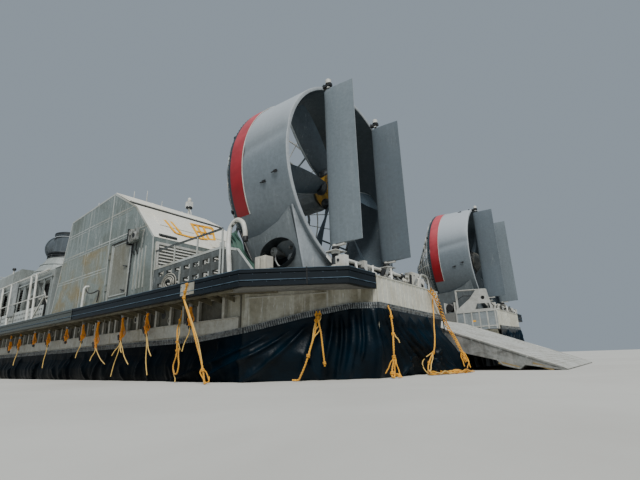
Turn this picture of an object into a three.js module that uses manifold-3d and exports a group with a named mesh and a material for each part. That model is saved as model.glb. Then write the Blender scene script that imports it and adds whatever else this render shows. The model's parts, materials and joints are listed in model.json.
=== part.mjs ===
// Air-cushion landing craft, parked off cushion on its landing rails with the stern ramp down.
// Millimetres. X runs forward from the stern deck edge, Y to port and Z up from the ground.

import * as THREE from 'three';
import { mergeVertices } from 'three/addons/utils/BufferGeometryUtils.js';
import Module from 'manifold-3d';

const wasm = await Module();
wasm.setup();

// Driving dimensions of the hull and decks
const midLength = 11593.5;
const keelZ = 180;
const cargoDeckZ = 1300;
const soffitZ = 1373;
const deckZ = 1600;
const shellThickness = 60;
const cargoHalf = 3700;
const sternOpeningHalf = 2300;
const bowOpeningHalf = 4450;
const bowX = 24300;
const stripHalfHeight = 50;

// Hull side in plan, port half, from the middle of the stern to the middle of the bow
const hullLine = [[0, 0], [0, 4850], [1700, 6150], [22700, 6150], [bowX, 4770], [bowX, 0]];

// Outer edge of the deck fender in plan, port side, from the stern to the bow opening
const fenderLine = [[0, 4860], [16, 5630], [1327, 6607], [22850, 6607], [24650, 4980], [24650, bowOpeningHalf]];
const fenderDepth = 107;
const fenderBottomZ = 1373;
const fenderTopZ = 1623;

// Ducted propellers
const ductY = 4386;
const ductZ = 3595;
const exitX = 611;
const propellerX = 1150;
const bladeCount = 6;
const shaftRadius = 70;
const rudderOffset = 871;
const rudderPivotX = 500;
const rudderBottomZ = 2130;
const rudderTopZ = 5170;
const rudderPinRadius = 22;
const pinClearance = 1;

// Ramps: hinge pin places, panel lengths and slopes
const hingeRadius = 50;
const sternRamp = { pinX: 1230, pinZ: 1200, angle: 180 + 20.9, half: 2250 };
const bowRamp = { pinX: 24420, pinZ: 1215, angle: 75, half: 4400 };

const craft = new THREE.Group();
craft.position.x = -midLength;

// Finishes: colour, roughness and metalness
const finishes = {
  bareAluminium: ['#a9a79c', 0.55, 0.7],
  paintedGrey: ['#8e9296', 0.5, 0.1],
  deckGrey: ['#7d7f7f', 0.8, 0.1],
  whitePaint: ['#d8d8d2', 0.5, 0.1],
  navyRubber: ['#1b2634', 0.7, 0],
  skirtRubber: ['#141a22', 0.6, 0],
  ductComposite: ['#7f858b', 0.45, 0],
  bladeComposite: ['#3f4a55', 0.5, 0],
  darkMetal: ['#2b2d30', 0.6, 0.4],
  yellowRope: ['#d99a1c', 0.8, 0],
};

// Turns a mesh whose faces point inwards inside out, as a mirrored one's do
function facingOut(positions, triangles) {
  let volume = 0;
  const corner = [new THREE.Vector3(), new THREE.Vector3(), new THREE.Vector3()];
  for (let t = 0; t < triangles.length; t += 3) {
    for (let k = 0; k < 3; k += 1) {
      corner[k].fromArray(positions, 3 * triangles[t + k]);
    }
    volume += corner[0].dot(corner[1].clone().cross(corner[2]));
  }
  if (volume > 0) {
    return triangles;
  }
  const turned = triangles.slice();
  for (let t = 0; t < turned.length; t += 3) {
    [turned[t], turned[t + 1]] = [turned[t + 1], turned[t]];
  }
  return turned;
}

function toSolid(geometry) {
  const plain = geometry.clone();
  plain.deleteAttribute('normal');
  plain.deleteAttribute('uv');
  const merged = mergeVertices(plain, 0.01);
  const positions = new Float32Array(merged.attributes.position.array);
  const triangles = facingOut(positions, new Uint32Array(merged.index.array));
  const mesh = new wasm.Mesh({ numProp: 3, vertProperties: positions, triVerts: triangles });
  return new wasm.Manifold(mesh);
}

function toGeometry(body) {
  const mesh = body.getMesh();
  const geometry = new THREE.BufferGeometry();
  geometry.setAttribute('position', new THREE.BufferAttribute(mesh.vertProperties, 3));
  geometry.setIndex(new THREE.BufferAttribute(mesh.triVerts, 1));
  return geometry;
}

const joined = (bodies) => bodies.reduce((whole, body) => whole.add(body));
const cutBy = (body, tools) => tools.reduce((rest, tool) => rest.subtract(tool), body);

function addPiece(name, body, finish) {
  const [color, roughness, metalness] = finishes[finish];
  const geometry = toGeometry(body);
  geometry.computeVertexNormals();
  const mesh = new THREE.Mesh(geometry, new THREE.MeshStandardMaterial({ color, roughness, metalness }));
  mesh.name = name;
  craft.add(mesh);
}

// The same body on the other side of the craft
function starboardOf(body) {
  const geometry = toGeometry(body);
  geometry.scale(1, -1, 1);
  return toSolid(geometry);
}

function addPair(name, body, finish) {
  addPiece(`${name}_port`, body, finish);
  addPiece(`${name}_stbd`, starboardOf(body), finish);
}

function block(x0, x1, y0, y1, z0, z1) {
  const geometry = new THREE.BoxGeometry(x1 - x0, y1 - y0, z1 - z0);
  geometry.translate((x0 + x1) / 2, (y0 + y1) / 2, (z0 + z1) / 2);
  return toSolid(geometry);
}

// Outline extruded along an axis: its points are (x, y) for z, (x, z) for y and (y, z) for x
function prism(axis, outline, from, to) {
  const shape = new THREE.Shape(outline.map(([a, b]) => new THREE.Vector2(a, b)));
  const geometry = new THREE.ExtrudeGeometry(shape, { depth: to - from, bevelEnabled: false });
  const place = {
    x: (a, b, c) => [from + c, a, b],
    y: (a, b, c) => [a, from + c, b],
    z: (a, b, c) => [a, b, from + c],
  }[axis];
  const position = geometry.attributes.position;
  for (let i = 0; i < position.count; i += 1) {
    position.setXYZ(i, ...place(position.getX(i), position.getY(i), position.getZ(i)));
  }
  return toSolid(geometry);
}

function rod(from, to, radius, sides = 10, endRadius = radius) {
  const start = new THREE.Vector3(...from);
  const end = new THREE.Vector3(...to);
  const along = end.clone().sub(start);
  const geometry = new THREE.CylinderGeometry(endRadius, radius, along.length(), sides);
  geometry.translate(0, along.length() / 2, 0);
  geometry.applyQuaternion(new THREE.Quaternion().setFromUnitVectors(
    new THREE.Vector3(0, 1, 0), along.normalize()));
  geometry.translate(start.x, start.y, start.z);
  return toSolid(geometry);
}

// Round bar along a smooth curve through the points
function bentRod(points, radius, sides, steps) {
  const curve = new THREE.CatmullRomCurve3(points.map((point) => new THREE.Vector3(...point)));
  const section = new THREE.Shape();
  for (let i = 0; i < sides; i += 1) {
    const turn = (2 * Math.PI * i) / sides;
    const corner = [radius * Math.cos(turn), radius * Math.sin(turn)];
    if (i === 0) {
      section.moveTo(...corner);
    } else {
      section.lineTo(...corner);
    }
  }
  const geometry = new THREE.ExtrudeGeometry(section, { steps, extrudePath: curve });
  return toSolid(geometry);
}

// Profile of (x, radius) points turned about the fore-and-aft line through y, z
function turned(profile, y, z, sides) {
  const points = profile.map(([x, radius]) => new THREE.Vector2(radius, x));
  const geometry = new THREE.LatheGeometry(points, sides);
  geometry.rotateZ(-Math.PI / 2);
  geometry.translate(0, y, z);
  return toSolid(geometry);
}

// Closed body through rings of equal point counts, with flat fans at both ends
function loft(rings) {
  const count = rings[0].length;
  const positions = rings.flat(2);
  const indices = [];
  for (let r = 0; r + 1 < rings.length; r += 1) {
    for (let i = 0; i < count; i += 1) {
      const next = (i + 1) % count;
      const [a, b] = [r * count + i, r * count + next];
      const [c, d] = [a + count, b + count];
      indices.push(a, b, c, b, d, c);
    }
  }
  [0, rings.length - 1].forEach((end) => {
    const centre = positions.length / 3;
    const ring = rings[end];
    [0, 1, 2].forEach((k) => positions.push(ring.reduce((sum, point) => sum + point[k], 0) / count));
    for (let i = 0; i < count; i += 1) {
      const edge = [end * count + i, end * count + ((i + 1) % count)];
      if (end === 0) {
        edge.reverse();
      }
      indices.push(centre, ...edge);
    }
  });
  const geometry = new THREE.BufferGeometry();
  geometry.setAttribute('position', new THREE.Float32BufferAttribute(positions, 3));
  geometry.setIndex(indices);
  return toSolid(geometry);
}

// Mitred outward normals along a port-side line in plan that runs from stern to bow
function outwardNormals(line) {
  const edges = line.slice(1).map(([x, y], i) => {
    const [dx, dy] = [x - line[i][0], y - line[i][1]];
    const length = Math.hypot(dx, dy);
    return [-dy / length, dx / length];
  });
  return line.map((_, i) => {
    const before = edges[Math.max(i - 1, 0)];
    const after = edges[Math.min(i, edges.length - 1)];
    const sum = [before[0] + after[0], before[1] + after[1]];
    const scale = 2 / (sum[0] ** 2 + sum[1] ** 2);
    return [sum[0] * scale, sum[1] * scale];
  });
}

function offsetLine(line, outward) {
  const normals = outwardNormals(line);
  return line.map(([x, y], i) => [x + outward * normals[i][0], y + outward * normals[i][1]]);
}

// Band in plan between a line and its inner offset
const bandOutline = (line, outer, inner) => [
  ...offsetLine(line, outer), ...offsetLine(line, inner).reverse()];

const bothSides = (line) => [...line, ...line.map(([x, y]) => [x, -y]).reverse()];

// Hull: one buoyant box on its landing rails, with the ramp well cut in its stern and bored
// cheeks for the ramp pins. Rails: outboard edge of each one on the port side
const hullInner = offsetLine(hullLine, -shellThickness);
const hullPlan = bothSides(hullInner.slice(1, -1));
const bowCheek = { x0: bowX - shellThickness, x1: 24480, y0: 4460, y1: 4600, z0: 1130 };
const pinBore = (ramp, from, to) => rod(
  [ramp.pinX, from, ramp.pinZ], [ramp.pinX, to, ramp.pinZ], hingeRadius + pinClearance, 24);

const rampWell = [[0, 400], [1290, 970], [1290, 1400], [0, 1400]];
const pinEmbed = 40;
const rail = { x0: 2600, x1: 21800, width: 700, edges: [5400, 1600] };
const cheek = block(bowCheek.x0 - 5, bowCheek.x1, bowCheek.y0, bowCheek.y1, bowCheek.z0, cargoDeckZ);
const rails = rail.edges.map((y) => block(rail.x0, rail.x1, y - rail.width, y, 0, keelZ + 5));
const hull = cutBy(joined([prism('z', hullPlan, keelZ, cargoDeckZ), cheek, starboardOf(cheek),
  ...rails, ...rails.map(starboardOf)]), [
  prism('y', rampWell, -sternOpeningHalf, sternOpeningHalf),
  pinBore(sternRamp, -sternOpeningHalf - pinEmbed - 5, sternOpeningHalf + pinEmbed + 5),
  pinBore(bowRamp, bowCheek.y0 - 10, bowCheek.y0 + pinEmbed + 5),
  pinBore(bowRamp, -bowCheek.y0 - pinEmbed - 5, -bowCheek.y0 + 10),
]);
addPiece('hull_box', hull, 'bareAluminium');

// Side decks: inner edge in plan, then the overhanging margin above the soffit
const deckInner = [[bowX, bowOpeningHalf], [22600, bowOpeningHalf], [21800, cargoHalf],
  [3900, cargoHalf], [2900, sternOpeningHalf]];
const deckMargin = offsetLine(fenderLine, -fenderDepth - 0.5);
const deckCore = [[shellThickness, sternOpeningHalf], ...hullInner.slice(1, -1), ...deckInner];
const deckTop = [[shellThickness, sternOpeningHalf], [shellThickness, 4790], ...deckMargin,
  ...deckInner];
const sideDeck = joined([prism('z', deckCore, cargoDeckZ, deckZ), prism('z', deckTop, soffitZ, deckZ)]);
addPair('side_deck', sideDeck, 'deckGrey');

// Fender: rubber strip along the deck edge with two shadow grooves
const grooves = [[1440, 1456], [1556, 1572]];
const fender = cutBy(
  prism('z', bandOutline(fenderLine, 0, -fenderDepth), fenderBottomZ, fenderTopZ),
  grooves.map(([low, high]) => prism('z', bandOutline(fenderLine, 10, -22), low, high)));
addPair('fender', fender, 'navyRubber');

// Side shell: bare plating under the soffit, mitred to the transom plate
const shellLine = hullLine.slice(1, -1);
const shellInner = hullInner.slice(1, -1);
const sideShell = prism('z', [...shellLine, ...shellInner.slice().reverse()], keelZ + 20, soffitZ);
addPair('side_shell', sideShell, 'bareAluminium');

const mitreGap = 0.3;
const transomPlan = [[0, sternOpeningHalf], [0, shellLine[0][1] - mitreGap],
  [shellThickness, shellInner[0][1] - mitreGap], [shellThickness, sternOpeningHalf]];
addPair('transom', prism('z', transomPlan, 1000, 1592), 'bareAluminium');

// Cargo deck plating between the side decks
const deckGap = 10;
const cargoPlan = bothSides([[1300, sternOpeningHalf - deckGap], [2900, sternOpeningHalf - deckGap],
  [3900, cargoHalf - deckGap], [21800, cargoHalf - deckGap], [22600, bowOpeningHalf - deckGap],
  [24230, bowOpeningHalf - deckGap]]);
addPiece('cargo_deck', prism('z', cargoPlan, cargoDeckZ, cargoDeckZ + 25), 'deckGrey');

// Skirt stations along the hull side: x, y, height of the clamp strip's middle, then how far the
// rubber stands off the hull at 0.75, 0.45 and 0.15 of its height and at the hem
const skirtStations = [
  [0, 2350, 1055, 90, 350, 560, 570],
  [0, 3000, 1065, 110, 300, 380, 380],
  [0, 3900, 1085, 120, 210, 220, 180],
  [0, 4850, 1105, 110, 170, 160, 120],
  [365, 5129, 1100, 110, 180, 170, 120],
  [970, 5592, 970, 110, 190, 170, 110],
  [1700, 6150, 770, 110, 200, 170, 110],
  [2840, 6150, 695, 120, 200, 180, 110],
  [22700, 6150, 700, 120, 200, 180, 110],
  [bowX, 4770, 950, 260, 480, 560, 520],
  [bowX, 0, 950, 300, 560, 660, 640],
];
const stationNormals = outwardNormals(skirtStations.map(([x, y]) => [x, y]));
const skirtSeat = 0.3;

function skirtRing(index) {
  const [x, y, strip, ...standOff] = skirtStations[index];
  const top = strip - stripHalfHeight - 5;
  const section = [[skirtSeat, 0], [skirtSeat, top], [50, top], [standOff[0], 0.75 * top],
    [standOff[1], 0.45 * top], [standOff[2], 0.15 * top], [standOff[3], 0]];
  const [nx, ny] = stationNormals[index];
  return section.map(([out, z]) => [x + out * nx, y + out * ny, z]);
}

// A skirt run from one station to another, its first ring moved on by a small gap
function skirtRun(first, last, gap) {
  const rings = [];
  for (let index = first; index <= last; index += 1) {
    rings.push(skirtRing(index));
  }
  rings[0] = rings[0].map((point, i) => {
    const next = rings[1][i];
    const share = gap / Math.hypot(next[0] - point[0], next[1] - point[1]);
    return point.map((value, k) => value + share * (next[k] - value));
  });
  return loft(rings);
}

const skirtGap = 0.3;
addPair('skirt_stern', skirtRun(0, 6, 0), 'skirtRubber');
addPair('skirt_side', skirtRun(6, 8, skirtGap), 'skirtRubber');
const bowHalf = skirtRun(8, 10, skirtGap);
addPiece('skirt_bow', joined([bowHalf, starboardOf(bowHalf)]), 'skirtRubber');

const sternSeal = [[-150, 0], [59.7, 0], [59.7, 390], [-60, 360]];
addPiece('stern_seal', prism('y', sternSeal, 10 - sternOpeningHalf, sternOpeningHalf - 10), 'skirtRubber');

// Clamp strip that holds the skirt's top edge to the hull side
const stripProud = 28;
const stripRings = skirtStations.slice(0, 10).map(([x, y, middle], i) => {
  const [nx, ny] = stationNormals[i];
  return [[0.3, -1], [0.3, 1], [stripProud, 1], [stripProud, -1]].map(([out, side]) => [
    x + out * nx, y + out * ny, middle + side * stripHalfHeight]);
});
addPair('skirt_clamp_strip', loft(stripRings), 'darkMetal');

// Machinery house: shell open to the deck, with a doorway in its outboard wall
const houseOuter = [[4280, deckZ], [4380, 2870], [5270, 3780], [6420, 4420], [8920, 4260], [9500, deckZ]];
const houseInner = [[4345, deckZ - 10], [4445, 2845], [5305, 3725], [6440, 4355], [8870, 4200],
  [9432, deckZ - 10]];
const houseY = [3650, 6350];
const wall = 60;
const doorway = { x0: 5286, x1: 6286, z0: 1760, z1: 3040 };
const lampBox = { x0: 4930, x1: 5300, z0: 2870, z1: 3150, proud: 100 };
const doorGap = 10;
const hinge = { knuckle: 14, pin: 8, out: 16, leaf: 70, leafDepth: 12, height: 160 };
const doorHingeZ = [1950, 2700];

// Fixed half of a door hinge on the wall plane y, for a door that lies aft of the pin
function hingeFixed(pinX, y, z) {
  return joined([
    block(pinX + 18, pinX + hinge.leaf, y, y + hinge.leafDepth, z, z + hinge.height),
    block(pinX, pinX + 20, y + 2, y + hinge.leafDepth, z + 110, z + hinge.height),
    rod([pinX, y + hinge.out, z], [pinX, y + hinge.out, z + hinge.height], hinge.pin, 12),
    rod([pinX, y + hinge.out, z + 108], [pinX, y + hinge.out, z + hinge.height], hinge.knuckle, 12),
  ]);
}

function hingeMoving(pinX, y, z) {
  const leaf = joined([
    block(pinX - hinge.leaf, pinX - 4, y, y + hinge.leafDepth, z, z + 105),
    rod([pinX, y + hinge.out, z], [pinX, y + hinge.out, z + 105], hinge.knuckle, 12),
  ]);
  return cutBy(leaf, [
    rod([pinX, y + hinge.out, z - 5], [pinX, y + hinge.out, z + 110], hinge.pin + pinClearance, 12)]);
}

const doorPinX = doorway.x1 - 6;
const house = cutBy(joined([
  prism('y', houseOuter, ...houseY),
  block(lampBox.x0, lampBox.x1, houseY[1] - 5, houseY[1] + lampBox.proud, lampBox.z0, lampBox.z1),
]), [
  prism('y', houseInner, houseY[0] + wall, houseY[1] - wall),
  block(doorway.x0, doorway.x1, houseY[1] - wall - 5, houseY[1] + 5, doorway.z0, doorway.z1),
]);
const houseHinges = doorHingeZ.map((z) => hingeFixed(doorPinX, houseY[1], z));
addPair('machinery_house', joined([house, ...houseHinges]), 'bareAluminium');

const door = joined([
  block(doorway.x0 + doorGap, doorway.x1 - doorGap - 2, houseY[1] - wall, houseY[1],
    doorway.z0 + doorGap, doorway.z1 - doorGap),
  ...doorHingeZ.map((z) => hingeMoving(doorPinX, houseY[1], z)),
]);
addPair('house_door', door, 'bareAluminium');

// Gas turbines: two plain blocks on one bed in each machinery house
const turbine = { length: 1500, width: 900, height: 850, y: 4500, x: [5000, 7300], bed: 60 };
const turbineY = [turbine.y - turbine.width / 2, turbine.y + turbine.width / 2];
addPair('engines', joined([
  block(turbine.x[0], turbine.x[1] + turbine.length, ...turbineY, deckZ, deckZ + turbine.bed),
  ...turbine.x.map((x) => block(x, x + turbine.length, ...turbineY, deckZ, deckZ + turbine.height)),
]), 'darkMetal');

// Lift-fan house with recessed bays in its outboard face, and the bow thruster's plinth on top
const fanHouse = { x0: 9700, step: 13600, x1: 16600, y0: 3750, y1: 6350 };
const fanBays = [[9850, 10900], [11050, 12100], [12250, 13300], [13450, 14900], [15050, 16450]];
const bayDepth = 180;
const thruster = { x: 13000, y: 5000, base: 1090, baseZ: 3250, neck: 560, neckZ: 4150 };
const aftSection = [[fanHouse.y0, deckZ], [fanHouse.y0, 3500], [5600, 3500], [fanHouse.y1, 3060],
  [fanHouse.y1, deckZ]];
const foreSection = [[fanHouse.y0, deckZ], [fanHouse.y0, 3700], [6150, 3700], [fanHouse.y1, 3500],
  [fanHouse.y1, deckZ]];
const spigot = { radius: 60, depth: 200 };
const fanHouseBody = cutBy(joined([
  prism('x', aftSection, fanHouse.x0, fanHouse.step),
  prism('x', foreSection, fanHouse.step, fanHouse.x1),
  rod([thruster.x, thruster.y, thruster.baseZ], [thruster.x, thruster.y, thruster.neckZ],
    thruster.base, 24, thruster.neck),
]), [
  ...fanBays.map(([x0, x1]) => block(x0, x1, fanHouse.y1 - bayDepth, fanHouse.y1 + 5, 1780, 2780)),
  rod([thruster.x, thruster.y, thruster.neckZ - spigot.depth - 5],
    [thruster.x, thruster.y, thruster.neckZ + 5], spigot.radius + pinClearance, 20),
]);
addPair('fan_house', fanHouseBody, 'paintedGrey');

// Bow thruster: turning mitred elbow on a spigot, its mouth facing forward
const elbow = { radius: 480, bore: 430, boreDepth: 400, collar: 620, collarZ: 4300, axisZ: 4660,
  reach: 800, lip: 45, lipDepth: 80 };
const mouthX = thruster.x + elbow.reach;
const elbowCorner = toSolid(new THREE.SphereGeometry(elbow.radius, 24, 12)).translate([
  thruster.x, thruster.y, elbow.axisZ]);
const thrusterBody = cutBy(joined([
  rod([thruster.x, thruster.y, thruster.neckZ + 6], [thruster.x, thruster.y, elbow.collarZ],
    elbow.collar, 24),
  rod([thruster.x, thruster.y, thruster.neckZ - spigot.depth], [thruster.x, thruster.y, 4200],
    spigot.radius, 20),
  rod([thruster.x, thruster.y, elbow.collarZ - 10], [thruster.x, thruster.y, elbow.axisZ],
    elbow.radius, 24),
  elbowCorner,
  rod([thruster.x, thruster.y, elbow.axisZ], [mouthX, thruster.y, elbow.axisZ], elbow.radius, 24),
  rod([mouthX - elbow.lipDepth, thruster.y, elbow.axisZ], [mouthX, thruster.y, elbow.axisZ],
    elbow.radius + elbow.lip, 24),
]), [rod([mouthX - elbow.boreDepth, thruster.y, elbow.axisZ],
  [mouthX + 10, thruster.y, elbow.axisZ], elbow.bore, 24)]);
addPair('bow_thruster', thrusterBody, 'paintedGrey');

// Cabins: hollow shells open to the deck. Windows are [x0, x1, z0, z1] in both long walls
const cabinY = [3750, 6350];
const cabinWall = 60;
const controlCabin = {
  outer: [[17800, deckZ], [17800, 4500], [18100, 4750], [21700, 4750], [22250, 3500], [22500, deckZ]],
  inner: [[17860, deckZ - 10], [17860, 4474], [18126, 4690], [21660, 4690], [22190, 3486],
    [22438, deckZ - 10]],
  sideWindows: [[18400, 19500, 3600, 4400], [19750, 20850, 3600, 4400]],
  front: { x: [21400, 22400], z: [3620, 4520] },
  aftX: 17800,
};
const lookoutCabin = {
  outer: [[18300, deckZ], [18300, 3700], [18500, 3900], [21500, 3900], [22050, 3000], [22400, deckZ]],
  inner: [[18360, deckZ - 10], [18360, 3674], [18526, 3840], [21466, 3840], [21992, 2986],
    [22338, deckZ - 10]],
  sideWindows: [[18800, 19700, 2850, 3550], [20000, 20900, 2850, 3550]],
  front: { x: [21200, 22300], z: [3080, 3720] },
  aftX: 18300,
};
const frontPanes = [[3950, 4700], [4800, 5300], [5400, 6150]];
const cabinDoor = { y0: 4600, y1: 5400, z0: 1700, z1: 3350, thickness: 60 };
const cabinHingeZ = [1900, 3000];

// Swaps x and y so that a hinge made for a side wall fits the aft wall of a cabin
function onAftWall(body, aftX) {
  const geometry = toGeometry(body);
  const position = geometry.attributes.position;
  for (let i = 0; i < position.count; i += 1) {
    position.setXYZ(i, aftX - position.getY(i), position.getX(i), position.getZ(i));
  }
  return toSolid(geometry);
}

const aftHingeY = cabinDoor.y1 - 6;

function cabinShell(cabin) {
  const walls = cutBy(prism('y', cabin.outer, ...cabinY), [
    prism('y', cabin.inner, cabinY[0] + cabinWall, cabinY[1] - cabinWall),
    ...cabin.sideWindows.map(([x0, x1, z0, z1]) => block(x0, x1, cabinY[0] - 5, cabinY[1] + 5, z0, z1)),
    ...frontPanes.map(([y0, y1]) => block(...cabin.front.x, y0, y1, ...cabin.front.z)),
    block(cabin.aftX - 5, cabin.aftX + cabinWall + 5, cabinDoor.y0, cabinDoor.y1,
      cabinDoor.z0, cabinDoor.z1),
  ]);
  return joined([walls, ...cabinHingeZ.map((z) => onAftWall(hingeFixed(aftHingeY, 0, z), cabin.aftX))]);
}

function cabinDoorBody(cabin) {
  const panel = block(cabin.aftX, cabin.aftX + cabinDoor.thickness, cabinDoor.y0 + doorGap,
    cabinDoor.y1 - doorGap - 2, cabinDoor.z0 + doorGap, cabinDoor.z1 - doorGap);
  return joined([panel,
    ...cabinHingeZ.map((z) => onAftWall(hingeMoving(aftHingeY, 0, z), cabin.aftX))]);
}

addPiece('control_cabin_stbd', starboardOf(cabinShell(controlCabin)), 'paintedGrey');
addPiece('lookout_cabin_port', cabinShell(lookoutCabin), 'paintedGrey');
addPiece('cabin_door_stbd', starboardOf(cabinDoorBody(controlCabin)), 'paintedGrey');
addPiece('cabin_door_port', cabinDoorBody(lookoutCabin), 'paintedGrey');

// Propeller duct: a turned ring, thin at its exit and rolled round at its inlet lip, with the
// rudders' upper bearing brackets on its exit face
const ductProfile = [[exitX, 1869], [exitX, 1932], [1000, 1945], [1625, 1968], [1830, 1988],
  [1950, 1990], [2005, 1970], [2020, 1930], [1985, 1880], [1800, 1815], [1300, 1800], [exitX, 1869]];
const ductSides = 48;
const topBracket = { z0: 5248, z1: 5330, half: 55, x0: 430, capTop: 5415 };
const topBrackets = [-rudderOffset, rudderOffset].map((offset) => cutBy(joined([
  block(topBracket.x0, exitX + 2, ductY + offset - topBracket.half, ductY + offset + topBracket.half,
    topBracket.z0, topBracket.z1),
  rod([rudderPivotX, ductY + offset, topBracket.z1 - 5], [rudderPivotX, ductY + offset, topBracket.capTop],
    42, 16),
]), [rod([rudderPivotX, ductY + offset, topBracket.z0 - 5], [rudderPivotX, ductY + offset, topBracket.z1 - 2],
  rudderPinRadius + pinClearance, 16)]));
addPair('duct', joined([turned(ductProfile, ductY, ductZ, ductSides), ...topBrackets]), 'ductComposite');

// Duct pedestal: fairing from the deck to the duct's lower half, with a round recess outboard
const pedestalPlug = turned([[0, 0], [0, 1934], [1000, 1947], [1625, 1970], [1830, 1990],
  [2600, 1992], [2600, 0]], ductY, ductZ, ductSides);
const pedestalFront = [[700, deckZ], [770, 2660], [1050, 2480], [1500, 2350], [1950, 2330], [1950, deckZ]];
const pedestalHalf = { foot: 1440, top: 1725, topZ: 2700 };
const pedestalSection = [[ductY - pedestalHalf.foot, deckZ], [ductY - pedestalHalf.top, pedestalHalf.topZ],
  [ductY + pedestalHalf.top, pedestalHalf.topZ], [ductY + pedestalHalf.foot, deckZ]];
const recess = { x: 1170, z: 1980, halfLength: 380, halfHeight: 250, floorY: ductY + 1150 };
const recessOutline = Array.from({ length: 20 }, (_, i) => [
  recess.x + recess.halfLength * Math.cos((Math.PI * i) / 10),
  recess.z + recess.halfHeight * Math.sin((Math.PI * i) / 10)]);
const pedestal = cutBy(
  prism('y', pedestalFront, ductY - 2000, ductY + 2000).intersect(prism('x', pedestalSection, 600, 2000)),
  [pedestalPlug, prism('y', recessOutline, recess.floorY, ductY + 2000)]);
addPair('duct_pedestal', pedestal, 'ductComposite');

// Drive frame: gearbox nacelle ahead of the propeller, its deck pylon and the cone of struts
const nacelle = [[1420, 0], [1420, 300], [1500, 340], [2900, 340], [3220, 230], [3300, 0]];
const coneStruts = 8;
const lipRing = [[2020.3, 1905], [2020.3, 1955], [2060, 1955], [2060, 1905], [2020.3, 1905]];
const midRing = { x: 2620, radius: 1048, bar: 22 };
const onAxis = (x, radius, turn) => [
  x, ductY + radius * Math.cos(turn), ductZ + radius * Math.sin(turn)];
const driveParts = [turned(nacelle, ductY, ductZ, 16), turned(lipRing, ductY, ductZ, 24)];
for (let i = 0; i < coneStruts; i += 1) {
  const turn = (2 * Math.PI * (i + 0.5)) / coneStruts;
  driveParts.push(rod(onAxis(2045, 1925, turn), onAxis(3150, 240, turn), 24, 6));
}
driveParts.push(turned([[midRing.x - midRing.bar, midRing.radius - midRing.bar],
  [midRing.x - midRing.bar, midRing.radius + midRing.bar],
  [midRing.x + midRing.bar, midRing.radius + midRing.bar],
  [midRing.x + midRing.bar, midRing.radius - midRing.bar],
  [midRing.x - midRing.bar, midRing.radius - midRing.bar]], ductY, ductZ, 16));
driveParts.push(block(2450, 2950, ductY - 110, ductY + 110, deckZ, ductZ - 200));
const driveFrame = cutBy(joined(driveParts), [
  rod([1400, ductY, ductZ], [1625, ductY, ductZ], shaftRadius + pinClearance, 24)]);
addPair('drive_frame', driveFrame, 'whitePaint');

// Propeller blade sections: radius, chord, pitch in degrees and thickness
const bladeSections = [
  [320, 280, 62, 90],
  [650, 420, 47, 62],
  [1100, 520, 34, 44],
  [1550, 520, 26, 28],
  [1770, 430, 23, 18],
];
const bladeOutline = [[-0.5, 0], [-0.3, 0.42], [0, 0.5], [0.3, 0.3], [0.5, 0], [0, -0.12]];

function bladeBody(turn) {
  const radial = [0, Math.cos(turn), Math.sin(turn)];
  const around = [0, -Math.sin(turn), Math.cos(turn)];
  return loft(bladeSections.map(([radius, chord, pitch, thick]) => {
    const angle = THREE.MathUtils.degToRad(pitch);
    return bladeOutline.map(([along, up]) => {
      const axial = along * chord * Math.sin(angle) + up * thick * Math.cos(angle);
      const side = along * chord * Math.cos(angle) - up * thick * Math.sin(angle);
      return [propellerX - axial, ductY + radius * radial[1] + side * around[1],
        ductZ + radius * radial[2] + side * around[2]];
    });
  }));
}

const hub = [[760, 0], [790, 150], [880, 270], [980, 350], [1060, 370], [1290, 370], [1340, 330], [1340, 0]];
const propeller = [turned(hub, ductY, ductZ, 16),
  rod([1330, ductY, ductZ], [1600, ductY, ductZ], shaftRadius, 24)];
for (let i = 0; i < bladeCount; i += 1) {
  propeller.push(bladeBody(((i + 0.35) * 2 * Math.PI) / bladeCount));
}
addPair('propeller', joined(propeller), 'bladeComposite');

// Rudder: symmetric section, (x, half thickness) from nose to tail, on pins top and bottom
const rudderSection = [[600, 4], [586, 22], [545, 38], [450, 46], [300, 42], [130, 24], [-40, 5]];

function rudderBody(y) {
  const outline = [...rudderSection.map(([x, half]) => [x, y + half]),
    ...rudderSection.map(([x, half]) => [x, y - half]).reverse()];
  return joined([
    prism('z', outline, rudderBottomZ, rudderTopZ),
    rod([rudderPivotX, y, rudderTopZ - 20], [rudderPivotX, y, 5322], rudderPinRadius, 16),
    rod([rudderPivotX, y, 2020], [rudderPivotX, y, rudderBottomZ + 20], rudderPinRadius, 16),
  ]);
}
addPair('rudder_outer', rudderBody(ductY + rudderOffset), 'ductComposite');
addPair('rudder_inner', rudderBody(ductY - rudderOffset), 'ductComposite');

// Rudder gear: lower bearing pedestals and a steering pipe on one bed plate
const gearBed = { x0: 190, x1: 605, y0: 2450, y1: 5560, thick: 22 };
const gearParts = [block(gearBed.x0, gearBed.x1, gearBed.y0, gearBed.y1, deckZ, deckZ + gearBed.thick)];
[-rudderOffset, rudderOffset].forEach((offset) => {
  const y = ductY + offset;
  gearParts.push(cutBy(joined([
    rod([rudderPivotX, y, deckZ], [rudderPivotX, y, 1880], 85, 20),
    rod([rudderPivotX, y, 1870], [rudderPivotX, y, 2095], 55, 16),
  ]), [rod([rudderPivotX, y, 2014], [rudderPivotX, y, 2100], rudderPinRadius + pinClearance, 16)]));
});
const steeringPipe = { x: 250, z: 1770, radius: 24, stands: [2600, 3950, 5450] };
gearParts.push(rod([steeringPipe.x, gearBed.y0, steeringPipe.z], [steeringPipe.x, gearBed.y1, steeringPipe.z],
  steeringPipe.radius, 12));
steeringPipe.stands.forEach((y) => {
  gearParts.push(block(steeringPipe.x - 35, steeringPipe.x + 35, y - 30, y + 30, deckZ, steeringPipe.z));
});
addPair('rudder_gear', joined(gearParts), 'darkMetal');

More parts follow.
